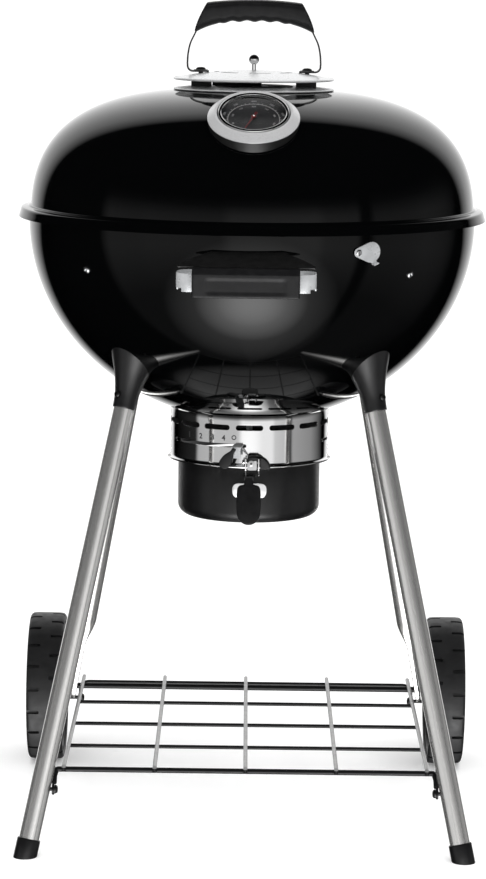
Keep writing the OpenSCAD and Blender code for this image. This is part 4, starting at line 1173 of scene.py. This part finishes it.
def make_world():
    """White for the camera; darker in front than at the sides and back for what the surfaces reflect."""
    world = bpy.data.worlds.new("studio")
    SCENE.world = world
    world.use_nodes = True
    tree = world.node_tree
    tree.nodes.clear()
    link = tree.links.new

    def add(kind, **values):
        node = tree.nodes.new(kind)
        for key, value in values.items():
            setattr(node, key, value)
        return node

    out, mix = add("ShaderNodeOutputWorld"), add("ShaderNodeMixShader")
    seen, lit = add("ShaderNodeBackground"), add("ShaderNodeBackground")
    seen.inputs["Strength"].default_value = 1.15
    seen.inputs["Color"].default_value = (1, 1, 1, 1)
    rays, place, axes = add("ShaderNodeLightPath"), add("ShaderNodeTexCoord"), add("ShaderNodeSeparateXYZ")
    link(place.outputs["Generated"], axes.inputs["Vector"])

    def ramp(value, stops):
        node = add("ShaderNodeValToRGB")
        points = node.color_ramp.elements
        while len(points) < len(stops):
            points.new(0.5)
        for point, (at, grey) in zip(points, stops):
            point.position, point.color = at, (grey, grey, grey, 1)
        link(value, node.inputs["Fac"])
        return node.outputs["Color"]

    def scaled(value, low, high):
        """A value between low and high, brought to 0 to 1."""
        node = add("ShaderNodeMapRange")
        node.inputs["From Min"].default_value, node.inputs["From Max"].default_value = low, high
        link(value, node.inputs["Value"])
        return node.outputs["Result"]

    def blend(kind, a, b):
        """Two colours added or multiplied; the second may be a plain number."""
        node = add("ShaderNodeMix", data_type="RGBA", blend_type=kind)
        node.inputs[0].default_value = 1.0
        link(a, node.inputs[6])
        if isinstance(b, float):
            node.inputs[7].default_value = (b, b, b, 1)
        else:
            link(b, node.inputs[7])
        return node.outputs[2]

    flip, heading = add("ShaderNodeMath", operation="MULTIPLY"), add("ShaderNodeMath", operation="ARCTAN2")
    flip.inputs[1].default_value = -1.0
    link(axes.outputs["Y"], flip.inputs[0])
    link(axes.outputs["X"], heading.inputs[0])
    link(flip.outputs[0], heading.inputs[1])

    def towards(way):
        aim = add("ShaderNodeVectorMath", operation="DOT_PRODUCT")
        aim.inputs[1].default_value = way
        link(place.outputs["Generated"], aim.inputs[0])
        return scaled(aim.outputs["Value"], -1, 1)

    sides = blend("MULTIPLY", ramp(scaled(heading.outputs[0], -pi, pi),
                                   [((a + 180) / 360, g) for a, g in AROUND]),
                  ramp(scaled(axes.outputs["Z"], -1, 1), LOW_BAND))
    total, under = ramp(towards(BACK_WAY), FRONT_TO_BACK), ramp(towards(UNDER_WAY), UNDER)
    lamp = blend("MULTIPLY", ramp(towards(LAMP_WAY), LAMP), LAMP_STRENGTH)
    for part in (sides, under, lamp):
        total = blend("ADD", total, part)
    link(total, lit.inputs["Color"])
    link(rays.outputs["Is Glossy Ray"], mix.inputs[0])
    link(seen.outputs[0], mix.inputs[1])
    link(lit.outputs[0], mix.inputs[2])
    link(mix.outputs[0], out.inputs["Surface"])


# What shining surfaces see: brightness against heading (0 is the front, right is positive),
# against height, towards the back, a soft lamp low in front, and a glow from below
AROUND = [(-180, 0.0), (-130, 0.0), (-84, 0.02), (-78, 0.5), (-60, 0.55), (-54, 0.6), (-16, 0.6), (-10, 1.0),
          (33, 1.0), (38, 0.7), (55, 0.6), (58, 0.04), (62, 0.04), (66, 0.4), (100, 0.3), (130, 0.0)]
LOW_BAND = [(0.0, 0.25), (0.2, 0.3), (0.4, 1.0), (0.52, 1.0), (0.57, 0.45), (0.61, 0.12), (0.66, 0.0)]
BACK_WAY = (0.0, 1.0, 0.25)
FRONT_TO_BACK = [(0.0, 0.0), (0.86, 0.0), (0.89, 0.6), (0.93, 1.1), (1.0, 1.3)]
LAMP_WAY = (0.0, -cos(radians(46)), -sin(radians(46)))
LAMP, LAMP_STRENGTH = [(0.0, 0.0), (0.88, 0.0), (0.95, 0.12), (0.98, 0.5), (1.0, 1.0)], 9.0
UNDER_WAY = (0.0, 0.35, -0.937)
UNDER = [(0.0, 0.0), (0.968, 0.0), (0.984, 0.6), (1.0, 0.6)]

make_floor()
make_world()
soft_box("key_top", (0.4, -1.4, 3.2), (0, 0, 0.6), (2.6, 2.2), 40)
SCENE.view_settings.view_transform = "Standard"
